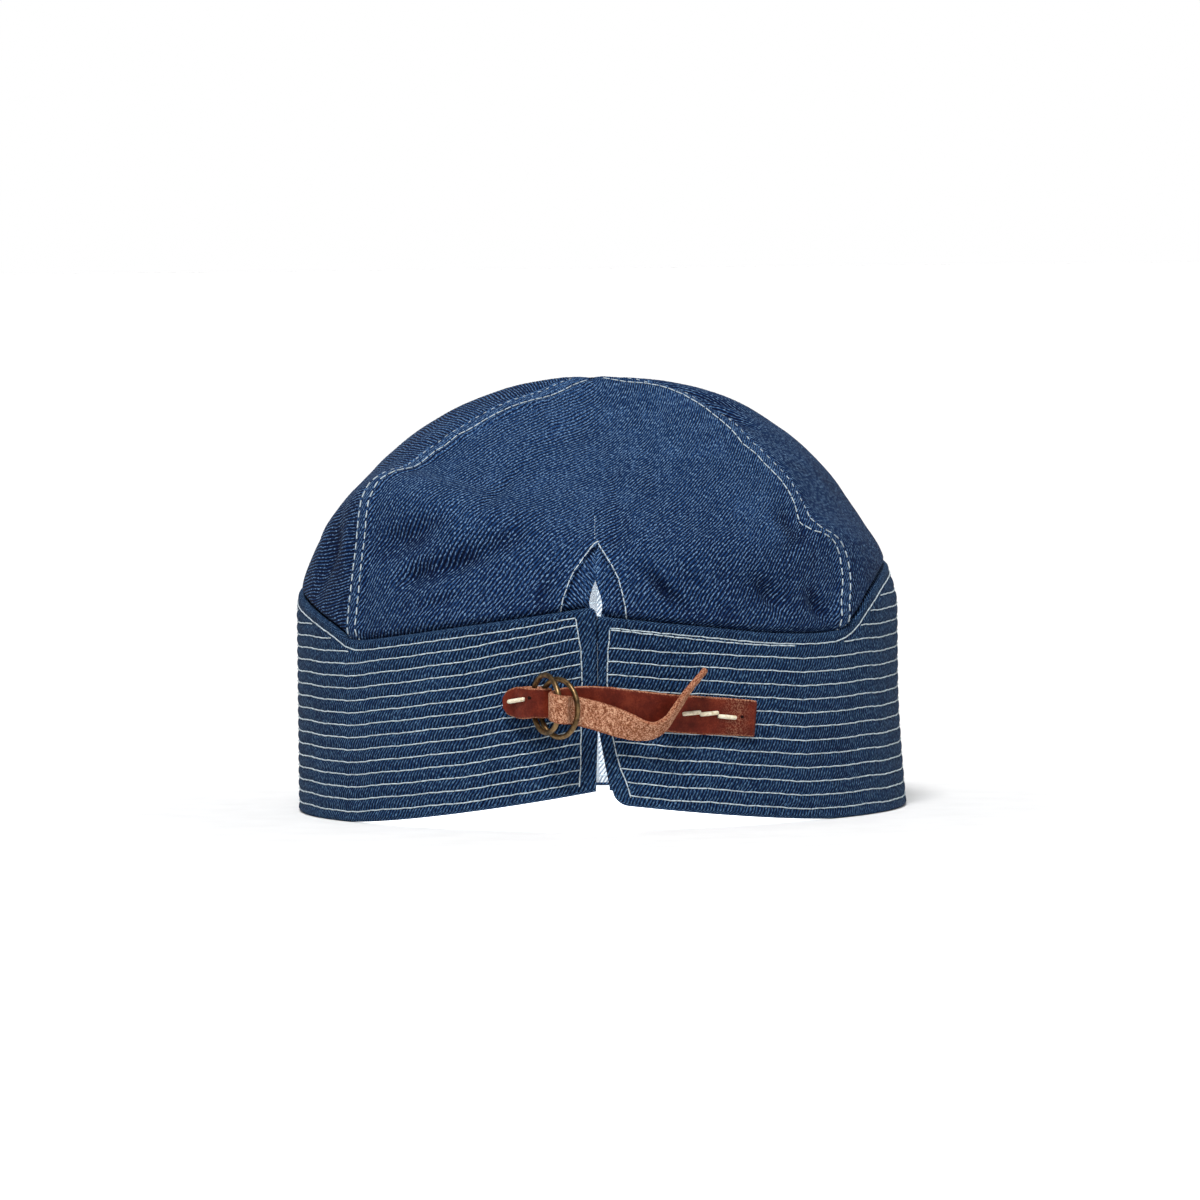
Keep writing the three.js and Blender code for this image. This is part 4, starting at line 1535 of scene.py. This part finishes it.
@dataclass
class Band:
    """Tall stiff band of two cloths, sewn together by rows of topstitching, open at the centre back."""

    cloths: Cloths
    thickness: float = 2.4
    columns: int = 400
    outer_rows: int = 112
    arc_rows: int = 5
    inner_rows: int = 30
    crowding: float = 0.7
    first_row: float = 3.2
    top_row: float = 3.0
    pitch: float = 3.83
    pitch_swing: float = 0.25
    groove: float = 0.4
    split_top: float = 30.0
    left_lean: float = 0.9
    right_lean: float = 3.9
    parting: float = 0.02
    lean_reach: float = 14.0
    end_round: float = 0.6
    doubled: float = 40.0
    shortest: float = 14.0
    most_rows: int = 20
    row_steps: int = 900
    end_steps: int = 80
    groove_width: float = 0.85
    rubbed_width: float = 1.3
    fold_height: float = 0.8
    clear_above: float = 1.0
    clear_doubled: float = 2.2
    no_row: float = 9.0
    weave_radius: float = 94.0

    def around(self, across: Array) -> tuple[Array, Array]:
        """Nominal angle and side for a share of the way round, from the left end to the right.

        Args:
            across: share of the way round.

        Returns:
            The angles, and which of them are on the left.
        """
        turned = 360 * (across - self.crowding * np.sin(2 * math.pi * across) / (2 * math.pi))
        left = across < 0.5
        return np.where(left, -turned, 360 - turned), left

    def leaned(self, nominal: Array, left: Array, up: Array) -> Array:
        """Angle of a place, with the band's two ends leaning apart below the strap.

        Args:
            nominal: the angle before the lean.
            left: whether it lies left of the split.
            up: share from the lower edge to the upper.

        Returns:
            The angle after it.
        """
        held = own_side(nominal, left)
        height = FORM.hem(held) + (FORM.band_top(held) - FORM.hem(held)) * up
        low = np.clip((self.split_top - height) / (self.split_top - FORM.right_hem[0]), 0, 1)
        lean = np.where(left, -self.left_lean * low, self.right_lean * low**1.15)
        parting = np.where(left, -self.parting, self.parting)
        near = 1 - smoothstep(np.abs(nominal), 0, self.lean_reach)
        return nominal + near * np.degrees((lean + parting) / FORM.half_width)

    def row_distance(self, angle: Array, height: Array, left: Array) -> Array:
        """Millimetres to the nearest row of stitches, large where there is none.

        Args:
            angle: degrees from the centre back.
            height: millimetres above the rim.
            left: whether it lies left of the split.

        Returns:
            Millimetres, 9 at most.
        """
        far, top = self.no_row, self.top_line(angle)
        foot = FORM.hem(own_side(angle, left), cornered=False)
        rise = height - foot - self.first_row + self.waver(angle)
        pitch = self.pitch + self.pitch_swing * np.sin(np.radians(angle))
        nearest = np.round(rise / pitch)
        row = np.where((nearest >= 0) & (height < top - 0.8), np.abs(rise - nearest * pitch), far)
        distance = np.minimum(row, np.abs(height - top))
        across = FORM.half_width * np.sin(np.radians(angle))
        left_end, right_end = END_ROWS.read("left", height), END_ROWS.read("right", height)
        end = np.where(left, left_end - across, across - right_end)
        # Beside the split only the upright row counts; level rows start beyond it
        behind = np.cos(np.radians(angle)) > 0
        near = np.where(behind, np.minimum(far, np.abs(end)), far)
        return np.where(behind & (end < 0), near, np.minimum(distance, near))

    def top_line(self, angle: Array) -> Array:
        """Height of the row under the upper edge, nearer to the edge at the left end.

        Args:
            angle: degrees from the centre back.

        Returns:
            Millimetres above the floor.
        """
        edge = BAND_TOP_LEFT.read("height", angle)
        left = edge - self.top_row + 0.7 * smoothstep(angle, -20, -2)
        return np.where(angle < 0, left, BAND_TOP_RIGHT.read("height", angle) - self.top_row)

    def waver(self, angle: Array) -> Array:
        """Small unevenness of hand-guided rows."""
        return 0.16 * np.sin(np.radians(angle) * 11) + 0.1 * np.sin(np.radians(angle) * 27 + 1)

    def profile(self) -> tuple[Array, Array]:
        """The band's closed section: share up the straight part, and the turn round each fold.

        Returns:
            The shares and the turns, from the outer foot round to it again.
        """
        arc = np.linspace(0, math.pi, self.arc_rows + 2)[1:-1]
        up = [np.linspace(0, 1, self.outer_rows), np.ones(self.arc_rows)]
        down = [np.linspace(1, 0, self.inner_rows), np.zeros(self.arc_rows + 1)]
        turn = [np.zeros(self.outer_rows), arc, np.full(self.inner_rows, math.pi), arc + math.pi]
        return np.concatenate(up + down), np.append(np.concatenate(turn), 2 * math.pi)

    def mesh(self) -> bmesh.types.BMesh:
        """The whole band as one closed wall with rounded ends.

        Returns:
            The wall, its inner face pointing to the second material.
        """
        share, turn = self.profile()
        last = len(share) - 1
        fold = self.thickness / 2

        def lay(across: Array, round_: Array) -> tuple[Array, Array, Array]:
            """Where the cloth lies, quilted between its rows, its weave and its rubbed folds.

            Args:
                across: share of the way round the cap.
                round_: share round the section.

            Returns:
                The points, their flat places and their wear.
            """
            up, arc = share[row_of(round_, last)], turn[row_of(round_, last)]
            nominal, left = self.around(across)
            edge = np.abs(nominal) * math.radians(1) * FORM.half_length
            ease = np.sqrt(np.clip(1 - (1 - np.clip(edge / self.end_round, 0, 1)) ** 2, 0, 1))
            angle = self.leaned(nominal, left, up)
            foot, top = FORM.hem(own_side(angle, left)), FORM.band_top(angle)
            rise = fold * self.fold_height
            low, high = foot + rise, top - rise
            height = low + (high - low) * up + rise * np.sin(arc)
            outer, inner = arc < 0.01, np.abs(arc - math.pi) < 0.01
            quilt = self.groove * bump(self.row_distance(angle, height, left), self.groove_width)
            pressed = np.where(outer, quilt - 0.1, 0) - np.where(inner, 0.5 * quilt, 0)
            flat = np.stack([np.radians(angle) * self.weave_radius, height + arc * 2], axis=-1)
            rubbed_top, rubbed_foot = (bump(height - edge, self.rubbed_width) for edge in (top, foot))
            worn = 0.25 * rubbed_top + 0.45 * rubbed_foot
            return FORM.band(angle, height, fold - fold * ease * np.cos(arc) + pressed), flat, worn

        mesh = warped_grid(self.columns, last, lay)
        first = self.outer_rows + self.arc_rows
        for number, polygon in enumerate(mesh.faces):
            polygon.material_index = int(first <= number // self.columns < first + self.inner_rows - 1)
        return close_and_orient(mesh, 0.02)

    def rows(self, stitching: Stitching, inside: float) -> None:
        """Adds the level rows, the row along the upper edge and the upright end rows.

        Args:
            stitching: what the rows are added to.
            inside: how far inside the outer face they lie.
        """
        for left in (True, False):
            angle = np.linspace(0, -180 if left else 180, self.row_steps)
            held = own_side(angle, left)
            foot, top = FORM.hem(held, cornered=False), self.top_line(held)
            pitch = self.pitch + self.pitch_swing * np.sin(np.radians(angle))
            doubled = (angle < self.doubled) & (not left)
            for row in range(self.most_rows):
                height = foot + self.first_row + row * pitch - self.waver(angle)
                clear = height < top - np.where(doubled, self.clear_doubled, self.clear_above)
                self.lay(stitching, angle, height, clear & self.past_end(angle, height, left), inside)
            self.lay(stitching, angle, top, self.past_end(angle, top, left), inside)
            second = top - 0.5 - 0.4 * bump(angle - 22, 12)
            self.lay(stitching, angle, second, doubled & self.past_end(angle, second, left), inside)
            lowest = FORM.hem(np.array([-4.0 if left else 6.0]))[0] + 2.5
            height = np.linspace(lowest, top[30] + 0.2, self.end_steps)
            across = END_ROWS.read("left" if left else "right", height)
            turn = np.degrees(np.arcsin(across / FORM.half_width))
            self.lay(stitching, turn, height, np.ones(len(turn), bool), inside)

    def past_end(self, angle: Array, height: Array, left: bool) -> Array:
        """Whether a place is beyond the upright end row, where level rows may run.

        Args:
            angle: degrees from the centre back.
            height: millimetres above the rim.
            left: whether it lies left of the split.

        Returns:
            True where a row shows.
        """
        across = FORM.half_width * np.sin(np.radians(angle))
        near = (np.abs(across) < 14) & (np.abs(angle) < 90)
        beyond = np.abs(across) > np.abs(END_ROWS.read("left" if left else "right", height))
        return ~near | beyond

    def lay(
        self, stitching: Stitching, angle: Array, height: Array, shown: Array, inside: float
    ) -> None:
        """Lays each unbroken run of a row on the outer or the inner face.

        Args:
            stitching: what the stitches are added to.
            angle: degrees from the centre back.
            height: millimetres above the rim.
            shown: where the row shows.
            inside: millimetres inside the outer face.
        """
        face = 1.0 if inside < self.thickness / 2 else -1.0
        edges = np.flatnonzero(np.diff(np.concatenate([[0], shown.astype(int), [0]])))
        for start, end in zip(edges[::2], edges[1::2]):
            turn, up = angle[start:end], height[start:end]
            points = FORM.band(turn, up, np.full(len(turn), inside))
            if np.linalg.norm(points[-1] - points[0]) >= self.shortest:
                out = FORM.band(turn, up, np.full(len(turn), inside - 1.0)) - points
                stitching.add_row(points, face * unit(out))

    def build(self) -> None:
        """Makes the band and its stitches on both faces."""
        cloths = [self.cloths.band, self.cloths.back_of_cloth]
        make_piece("stitched_band", self.mesh(), cloths, ["band"])
        outer = Stitching()
        self.rows(outer, self.groove - 0.22)
        outer.finish("band_topstitching", self.cloths.thread)
        inner = Stitching(sides=4, rings=4)
        self.rows(inner, self.thickness - 0.1)
        inner.finish("band_bobbin_rows", self.cloths.thread)


# The strap's centre line from its sewn end to its free tip: across and up in the back view, out from the
# band, the width there, and how far its upper edge is turned towards the viewer
STRAP = Table(
    "row across up out width turn",
    (0, 45.4, 30.9, 1.15, 10.5, 0),
    (1, 38, 31.7, 1.1, 10.9, 0),
    (2, 29, 32.5, 1.1, 11.1, 0),
    (3, 20, 33.5, 1.1, 10.9, 0),
    (4, 11, 34.9, 1.1, 10.4, 0),
    (5, 3, 36.3, 1.1, 9.9, 0),
    (6, -4, 36.9, 1.3, 9.4, 0),
    (7, -9.2, 36.8, 2.2, 8.9, 0),
    (8, -11.6, 36.7, 4.6, 8.6, 0),
    (9, -12.9, 36.6, 9.4, 8.4, 0),
    (10, -13.5, 36.5, 14.6, 8.3, 0),
    (11, -13.2, 36.4, 18.2, 8.2, 0),
    (12, -11.3, 35.9, 20, 8.2, 0),
    (13, -9.4, 35.6, 18.8, 8.2, 0),
    (14, -9, 35.4, 15.8, 8.1, 0),
    (15, -8.1, 35.2, 12.4, 8.1, 0),
    (16, -5.2, 34.6, 9.6, 8.3, 0),
    (17, -0.8, 33.4, 8, 8.3, 0),
    (18, 3, 32.1, 6.6, 8.3, 4),
    (19, 8, 30.2, 5.4, 8, 14),
    (20, 12.5, 28.8, 5.6, 7.4, 32),
    (21, 16.4, 28.9, 6.3, 6.8, 50),
    (22, 19.6, 31, 6.8, 6.2, 60),
    (23, 22.7, 35.2, 7, 5.8, 64),
    (24, 26.2, 40.2, 7.3, 5, 66),
    (25, 31.2, 46, 7.8, 3.4, 66),
)
# The folded tab in plan, from its sewn lower layer, round the rings and back to its rounded end
TAB = Table(
    "row across out width",
    (0, -25.4, 1.1, 7.4),
    (1, -21, 1.1, 9.2),
    (2, -17, 1.1, 9.2),
    (3, -14.7, 1.9, 8.6),
    (4, -13.8, 4, 8.6),
    (5, -14.2, 6, 8.6),
    (6, -16, 6.9, 8.6),
    (7, -18.6, 6.8, 8.6),
    (8, -21.4, 5, 9.2),
    (9, -23.8, 3.1, 8.8),
    (10, -26.2, 2.8, 6.6),
    (11, -27.3, 2.8, 3.6),
)
# Thick stitches through the leather: across, height and out from the band at each end
STITCHES = (
    ((24.3, 33.1, 1.9), (29.7, 33.3, 1.9)),
    ((29.6, 32.9, 1.9), (34.6, 32.9, 1.9)),
    ((34.5, 32.1, 1.9), (40.1, 31.4, 1.9)),
    ((-26.9, 36.8, 3.6), (-20.1, 38.5, 6.7)),
)
# Empty awl holes in the leather, as across, height and out; each is drawn as a near-black bead sunk into
# the hide, painted shade in the hole
HOLES = ((41.7, 31.6, 1.85), (-19.7, 38.5, 7.3))


def back_face(across: Array) -> Array:
    """The band's outer face in plan at the back."""
    return -FORM.half_length * np.sqrt(1 - (np.asarray(across, float) / FORM.half_width) ** 2)


def curve_through(points: Array, steps: int) -> Array:
    """Centripetal curve through points, so that no fold overshoots.

    Args:
        points: the places it passes, one a row.
        steps: how many equal parts of the list it is read in.

    Returns:
        One more point than there are steps.
    """
    ends = np.vstack([2 * points[0] - points[1], points, 2 * points[-1] - points[-2]])
    made = []
    for i in range(steps + 1):
        at = i / steps * (len(points) - 1)
        k = min(int(at), len(points) - 2)
        u = at - k
        p0, p1, p2, p3 = ends[k : k + 4]
        d0, d1, d2 = (np.linalg.norm(b - a) ** 0.5 for a, b in ((p0, p1), (p1, p2), (p2, p3)))
        t1 = ((p1 - p0) / d0 - (p2 - p0) / (d0 + d1) + (p2 - p1) / d1) * d1
        t2 = ((p2 - p1) / d1 - (p3 - p1) / (d1 + d2) + (p3 - p2) / d2) * d1
        cubic = (2 * p1 - 2 * p2 + t1 + t2) * u**3 + (-3 * p1 + 3 * p2 - 2 * t1 - t2) * u**2
        made.append(cubic + t1 * u + p1)
    return np.array(made)


@dataclass
class Ribbon:
    """A leather ribbon swept along a table of places, with rounded cut edges."""

    rows: Table
    height: float | None = None
    thickness: float = 1.4
    steps: int = 260
    face_parts: int = 18
    edge_round: float = 0.32
    scuffs: float = 0.0

    def section(self) -> tuple[Array, Array, Array]:
        """The closed section: share across, share through, and which of the faces it is.

        Returns:
            Share across, share through, and the number of each part's material.
        """
        across = np.linspace(-1, 1, self.face_parts + 1)
        side = np.full(self.face_parts + 1, -1.0)
        bulge = np.array([-0.45, 0.0, 0.45])
        u = np.concatenate([across, np.full(3, 1.0), across[::-1], np.full(3, -1.0), across[:1]])
        v = np.concatenate([side, bulge, -side, bulge[::-1], side[:1]])
        flesh, grain, cut = np.ones(self.face_parts), np.zeros(self.face_parts), np.full(4, 2)
        return u, v, np.concatenate([flesh, cut, grain, cut])

    def frames(self) -> tuple[Array, Array, Array, Array]:
        """Centre, across, face direction and half width at each step.

        Returns:
            One of each for a step.
        """
        rows = self.rows
        height = rows["up"] if self.height is None else np.full(len(rows["row"]), self.height)
        places = np.stack([rows["across"], back_face(rows["across"]) - rows["out"], height], axis=-1)
        centre = curve_through(places, self.steps)
        along = unit(np.gradient(centre, axis=0))
        at = np.linspace(0, len(places) - 1, self.steps + 1)
        turn = np.radians(rows.read("turn", at)) if "turn" in rows.columns else np.zeros(len(at))
        flat = unit(np.array([0, 0, 1.0]) - along * along[:, 2:])
        face = np.cross(along, flat)
        across = flat * np.cos(turn)[:, None] + face * np.sin(turn)[:, None]
        return centre, across, np.cross(along, across), rows.read("width", at) / 2

    def mesh(self) -> bmesh.types.BMesh:
        """The swept ribbon: grain faces are 0, flesh faces 1 and cut edges 2.

        Returns:
            The ribbon, its ends closed.
        """
        centre, across, face, half = self.frames()
        u, v, kind = self.section()
        last = len(u) - 1

        def lay(along: Array, round_: Array) -> tuple[Array, Array, Array]:
            """Where the hide lies, uneven at its edges, its flat place, its rubbed edges and scuffs.

            Args:
                along: share along the ribbon.
                round_: share round the section.

            Returns:
                The points, their flat places and their wear.
            """
            s, k = row_of(along, self.steps), row_of(round_, last)
            edge = np.abs(u[k])
            width = half[s] - self.edge_round * v[k] ** 2 * (edge > 0.99)
            uneven = np.array([
                0.12 * noise.noise(Vector(c) * 0.35 + Vector((0, 0, e))) for c, e in zip(centre[s], u[k])
            ])
            side = across[s] * (u[k] * (width + uneven))[:, None]
            through = -v[k] * self.thickness / 2 * (1 - 0.12 * edge**6)
            flat = np.stack([along * 100, round_ * 20], axis=-1)
            worn = np.where(u[k] > 0, 0.85, 0.3) * edge**24 + self.scuffs * bump(along - 0.03, 0.016)
            return centre[s] + side + face[s] * through[:, None], flat, worn

        mesh = warped_grid(self.steps, last, lay)
        for number, polygon in enumerate(mesh.faces):
            polygon.material_index = int(kind[min(number // self.steps, last - 1)])
        ends = close_and_orient(mesh)
        rims = [e for e in ends.edges if e.is_boundary]
        caps = bmesh.ops.holes_fill(ends, edges=rims, sides=0)["faces"]
        for cap in caps:
            cap.material_index = 2
        bmesh.ops.triangulate(ends, faces=caps)
        bmesh.ops.recalc_face_normals(ends, faces=ends.faces)
        return ends


@dataclass
class Buckling:
    """The strap, the folded tab and the two rings that cinch the band across its split."""

    cloths: Cloths
    ring_radius: float = 8.35
    wire: float = 0.78
    ring_steps: int = 72
    wire_sides: int = 18
    hinge_out: float = 3.1
    rings: tuple[tuple[str, float, float, float], ...] = (
        ("ring_back", -18.9, 36.9, 62.0),
        ("ring_front", -16.8, 35.6, 49.0),
    )

    def ring(self, hinge: float, height: float, tilt: float) -> bmesh.types.BMesh:
        """A ring of round wire, hinged at its left and standing out from the band.

        Args:
            hinge: where its left side hangs, across in the back view.
            height: the height of its centre.
            tilt: degrees that its right side stands out.

        Returns:
            The ring in the frame.
        """
        mesh = bmesh.new()
        made = bmesh.ops.create_circle(mesh, segments=self.wire_sides, radius=self.wire * MM)
        bmesh.ops.translate(mesh, verts=made["verts"], vec=(self.ring_radius * MM, 0, 0))
        bmesh.ops.spin(
            mesh,
            geom=mesh.verts[:] + mesh.edges[:],
            cent=(0, 0, 0),
            axis=(0, 1, 0),
            angle=2 * math.pi,
            steps=self.ring_steps,
            use_merge=True,
            use_duplicate=False,
        )
        bmesh.ops.remove_doubles(mesh, verts=mesh.verts, dist=0.01 * MM)
        bmesh.ops.recalc_face_normals(mesh, faces=mesh.faces)
        out = float(back_face(hinge)) - self.hinge_out
        to = Matrix.Translation(Vector(placed([hinge, out, height])))
        turn = Matrix.Rotation(math.radians(-tilt), 4, "Z")
        hung = to @ turn @ Matrix.Translation((self.ring_radius * MM, 0, 0))
        bmesh.ops.transform(mesh, matrix=hung, verts=mesh.verts)
        return mesh

    def thick_stitch(
        self, stitching: Stitching, start: tuple[float, float, float], end: tuple[float, float, float]
    ) -> None:
        """One thick stitch between two places, each given by across, height and out from the band.

        Args:
            stitching: what the stitches are added to.
            start: across, height and out from the band.
            end: the same at its other end.
        """
        x, z, out = np.linspace(start, end, 9).T
        points = np.stack([x, back_face(x) - out, z], axis=-1)
        stitching.add_row(points, unit(np.stack([x / FORM.half_width, -np.ones(9), np.zeros(9)], axis=-1)))

    def build(self) -> None:
        """Makes the leather, the rings and the thick stitches."""
        faces = [self.cloths.grain, self.cloths.suede, self.cloths.cut_edge]
        make_piece("cinch_strap", Ribbon(STRAP, scuffs=0.35).mesh(), faces, ["strap"])
        make_piece("ring_loop", Ribbon(TAB, height=36.9, steps=120).mesh(), faces, ["ring_tab"])
        for name, hinge, height, tilt in self.rings:
            mesh = self.ring(hinge, height, tilt)
            make_piece(name + "_wire", mesh, [self.cloths.brass], [name])
        thick = Stitching(Stitch.LEATHER, sides=12, rings=9)
        for start, end in STITCHES:
            self.thick_stitch(thick, start, end)
        thick.finish("leather_stitches", self.cloths.thick_thread)
        # Each awl hole is a near-black bead sunk into the hide: painted shade
        holes = Stitching(Stitch.AWL_HOLE, sides=12, rings=9)
        for across, height, out in HOLES:
            self.thick_stitch(holes, (across - 0.5, height, out), (across + 0.5, height, out))
        holes.finish("awl_hole_shade", self.cloths.painted_hole_shade)


@dataclass
class Studio:
    """Pale paper floor, soft lights and the camera behind the cap."""

    view_width: float = 360.0
    distance: float = 2600.0
    elevation: float = 2.5
    roll: float = 0.6
    look_at: tuple[float, float, float] = (0.9, 0.0, 62.0)
    sensor: float = 36.0
    paper: float = 60.0
    room: float = 0.42
    backdrop: tuple[float, float] = (0.8, 0.96)
    sun_towards: tuple[float, float, float] = (0.1, 0.68, -1.0)
    sun_spread: float = 18.0
    sun_strength: float = 3.2
    glow_size: float = 0.09
    glow_power: float = 0.4
    glow_place: tuple[float, float, float] = (0.0, -10.0, 92.0)

    def floor(self) -> None:
        """A wide sheet of paper that runs flat under the cap and far past it."""
        mesh = bmesh.new()
        bmesh.ops.create_grid(mesh, x_segments=2, y_segments=2, size=self.paper / 2)
        data = bpy.data.meshes.new("paper_floor")
        mesh.to_mesh(data)
        mesh.free()
        data.materials.append(MattePaper("matte paper, rolled", 0.95).material())
        sheet = linked("paper_floor", data)

    def sun(self) -> None:
        """One even light from a wide soft source, high behind the camera."""
        lamp = bpy.data.lights.new("key", "SUN")
        lamp.angle, lamp.energy = math.radians(self.sun_spread), self.sun_strength
        linked("key", lamp).rotation_euler = Vector(self.sun_towards).to_track_quat("-Z", "Y").to_euler()

    def inner_glow(self) -> None:
        """A weak soft lamp in the hollow, so that the inside isn't black through the split."""
        lamp = bpy.data.lights.new("inside", "AREA")
        lamp.size, lamp.energy = self.glow_size, self.glow_power
        held = linked("inside", lamp)
        held.location = placed(self.glow_place)
        held.visible_camera = False

    def camera(self) -> None:
        """The camera at the photograph's angle and distance."""
        lens = bpy.data.cameras.new("camera")
        lens.sensor_width, lens.clip_end = self.sensor, 50.0
        lens.lens = self.sensor * self.distance / self.view_width
        tilt = math.radians(self.elevation)
        back = Vector((0, -math.cos(tilt), math.sin(tilt)))
        rolled = Matrix.Rotation(math.radians(-self.roll), 3, "Z").to_quaternion()
        held = linked("camera", lens)
        held.location = Vector(placed(self.look_at)) + back * self.distance * MM
        held.rotation_euler = ((-back).to_track_quat("-Z", "Y") @ rolled).to_euler()
        bpy.context.scene.camera = held

    def build(self) -> None:
        """Sets up the floor, the lights, the sky light and the camera."""
        self.camera()
        self.floor()
        self.sun()
        self.inner_glow()
        world = bpy.data.worlds.new("room with a white backdrop")
        world.use_nodes = True
        tree = world.node_tree
        # The white backdrop fills only what lies beyond the cap; the rest of the room is dimmer
        towards = add_node(tree, "TexCoord", {}, "Generated")
        ahead = add_node(tree, "SeparateXYZ", {0: towards}, "Y")
        low, high = self.backdrop
        far = {"Value": ahead, "From Min": low, "From Max": high, "To Min": self.room, "To Max": 1.0}
        sky = {"Color": (1, 1, 1, 1), "Strength": add_node(tree, "MapRange", far)}
        fill_sockets(tree, tree.nodes["Background"], sky)
        bpy.context.scene.world = world
        bpy.context.scene.view_settings.view_transform = "Standard"


def main() -> None:
    """Builds the cap's sub-assemblies in order and reports each piece."""
    logging.basicConfig(level=logging.INFO, format="%(message)s")
    Studio().build()
    cloths = Cloths.make()
    Crown(cloths).build()
    VentFacing(cloths).build()
    Band(cloths).build()
    Buckling(cloths).build()


if __name__ == "__main__":
    main()
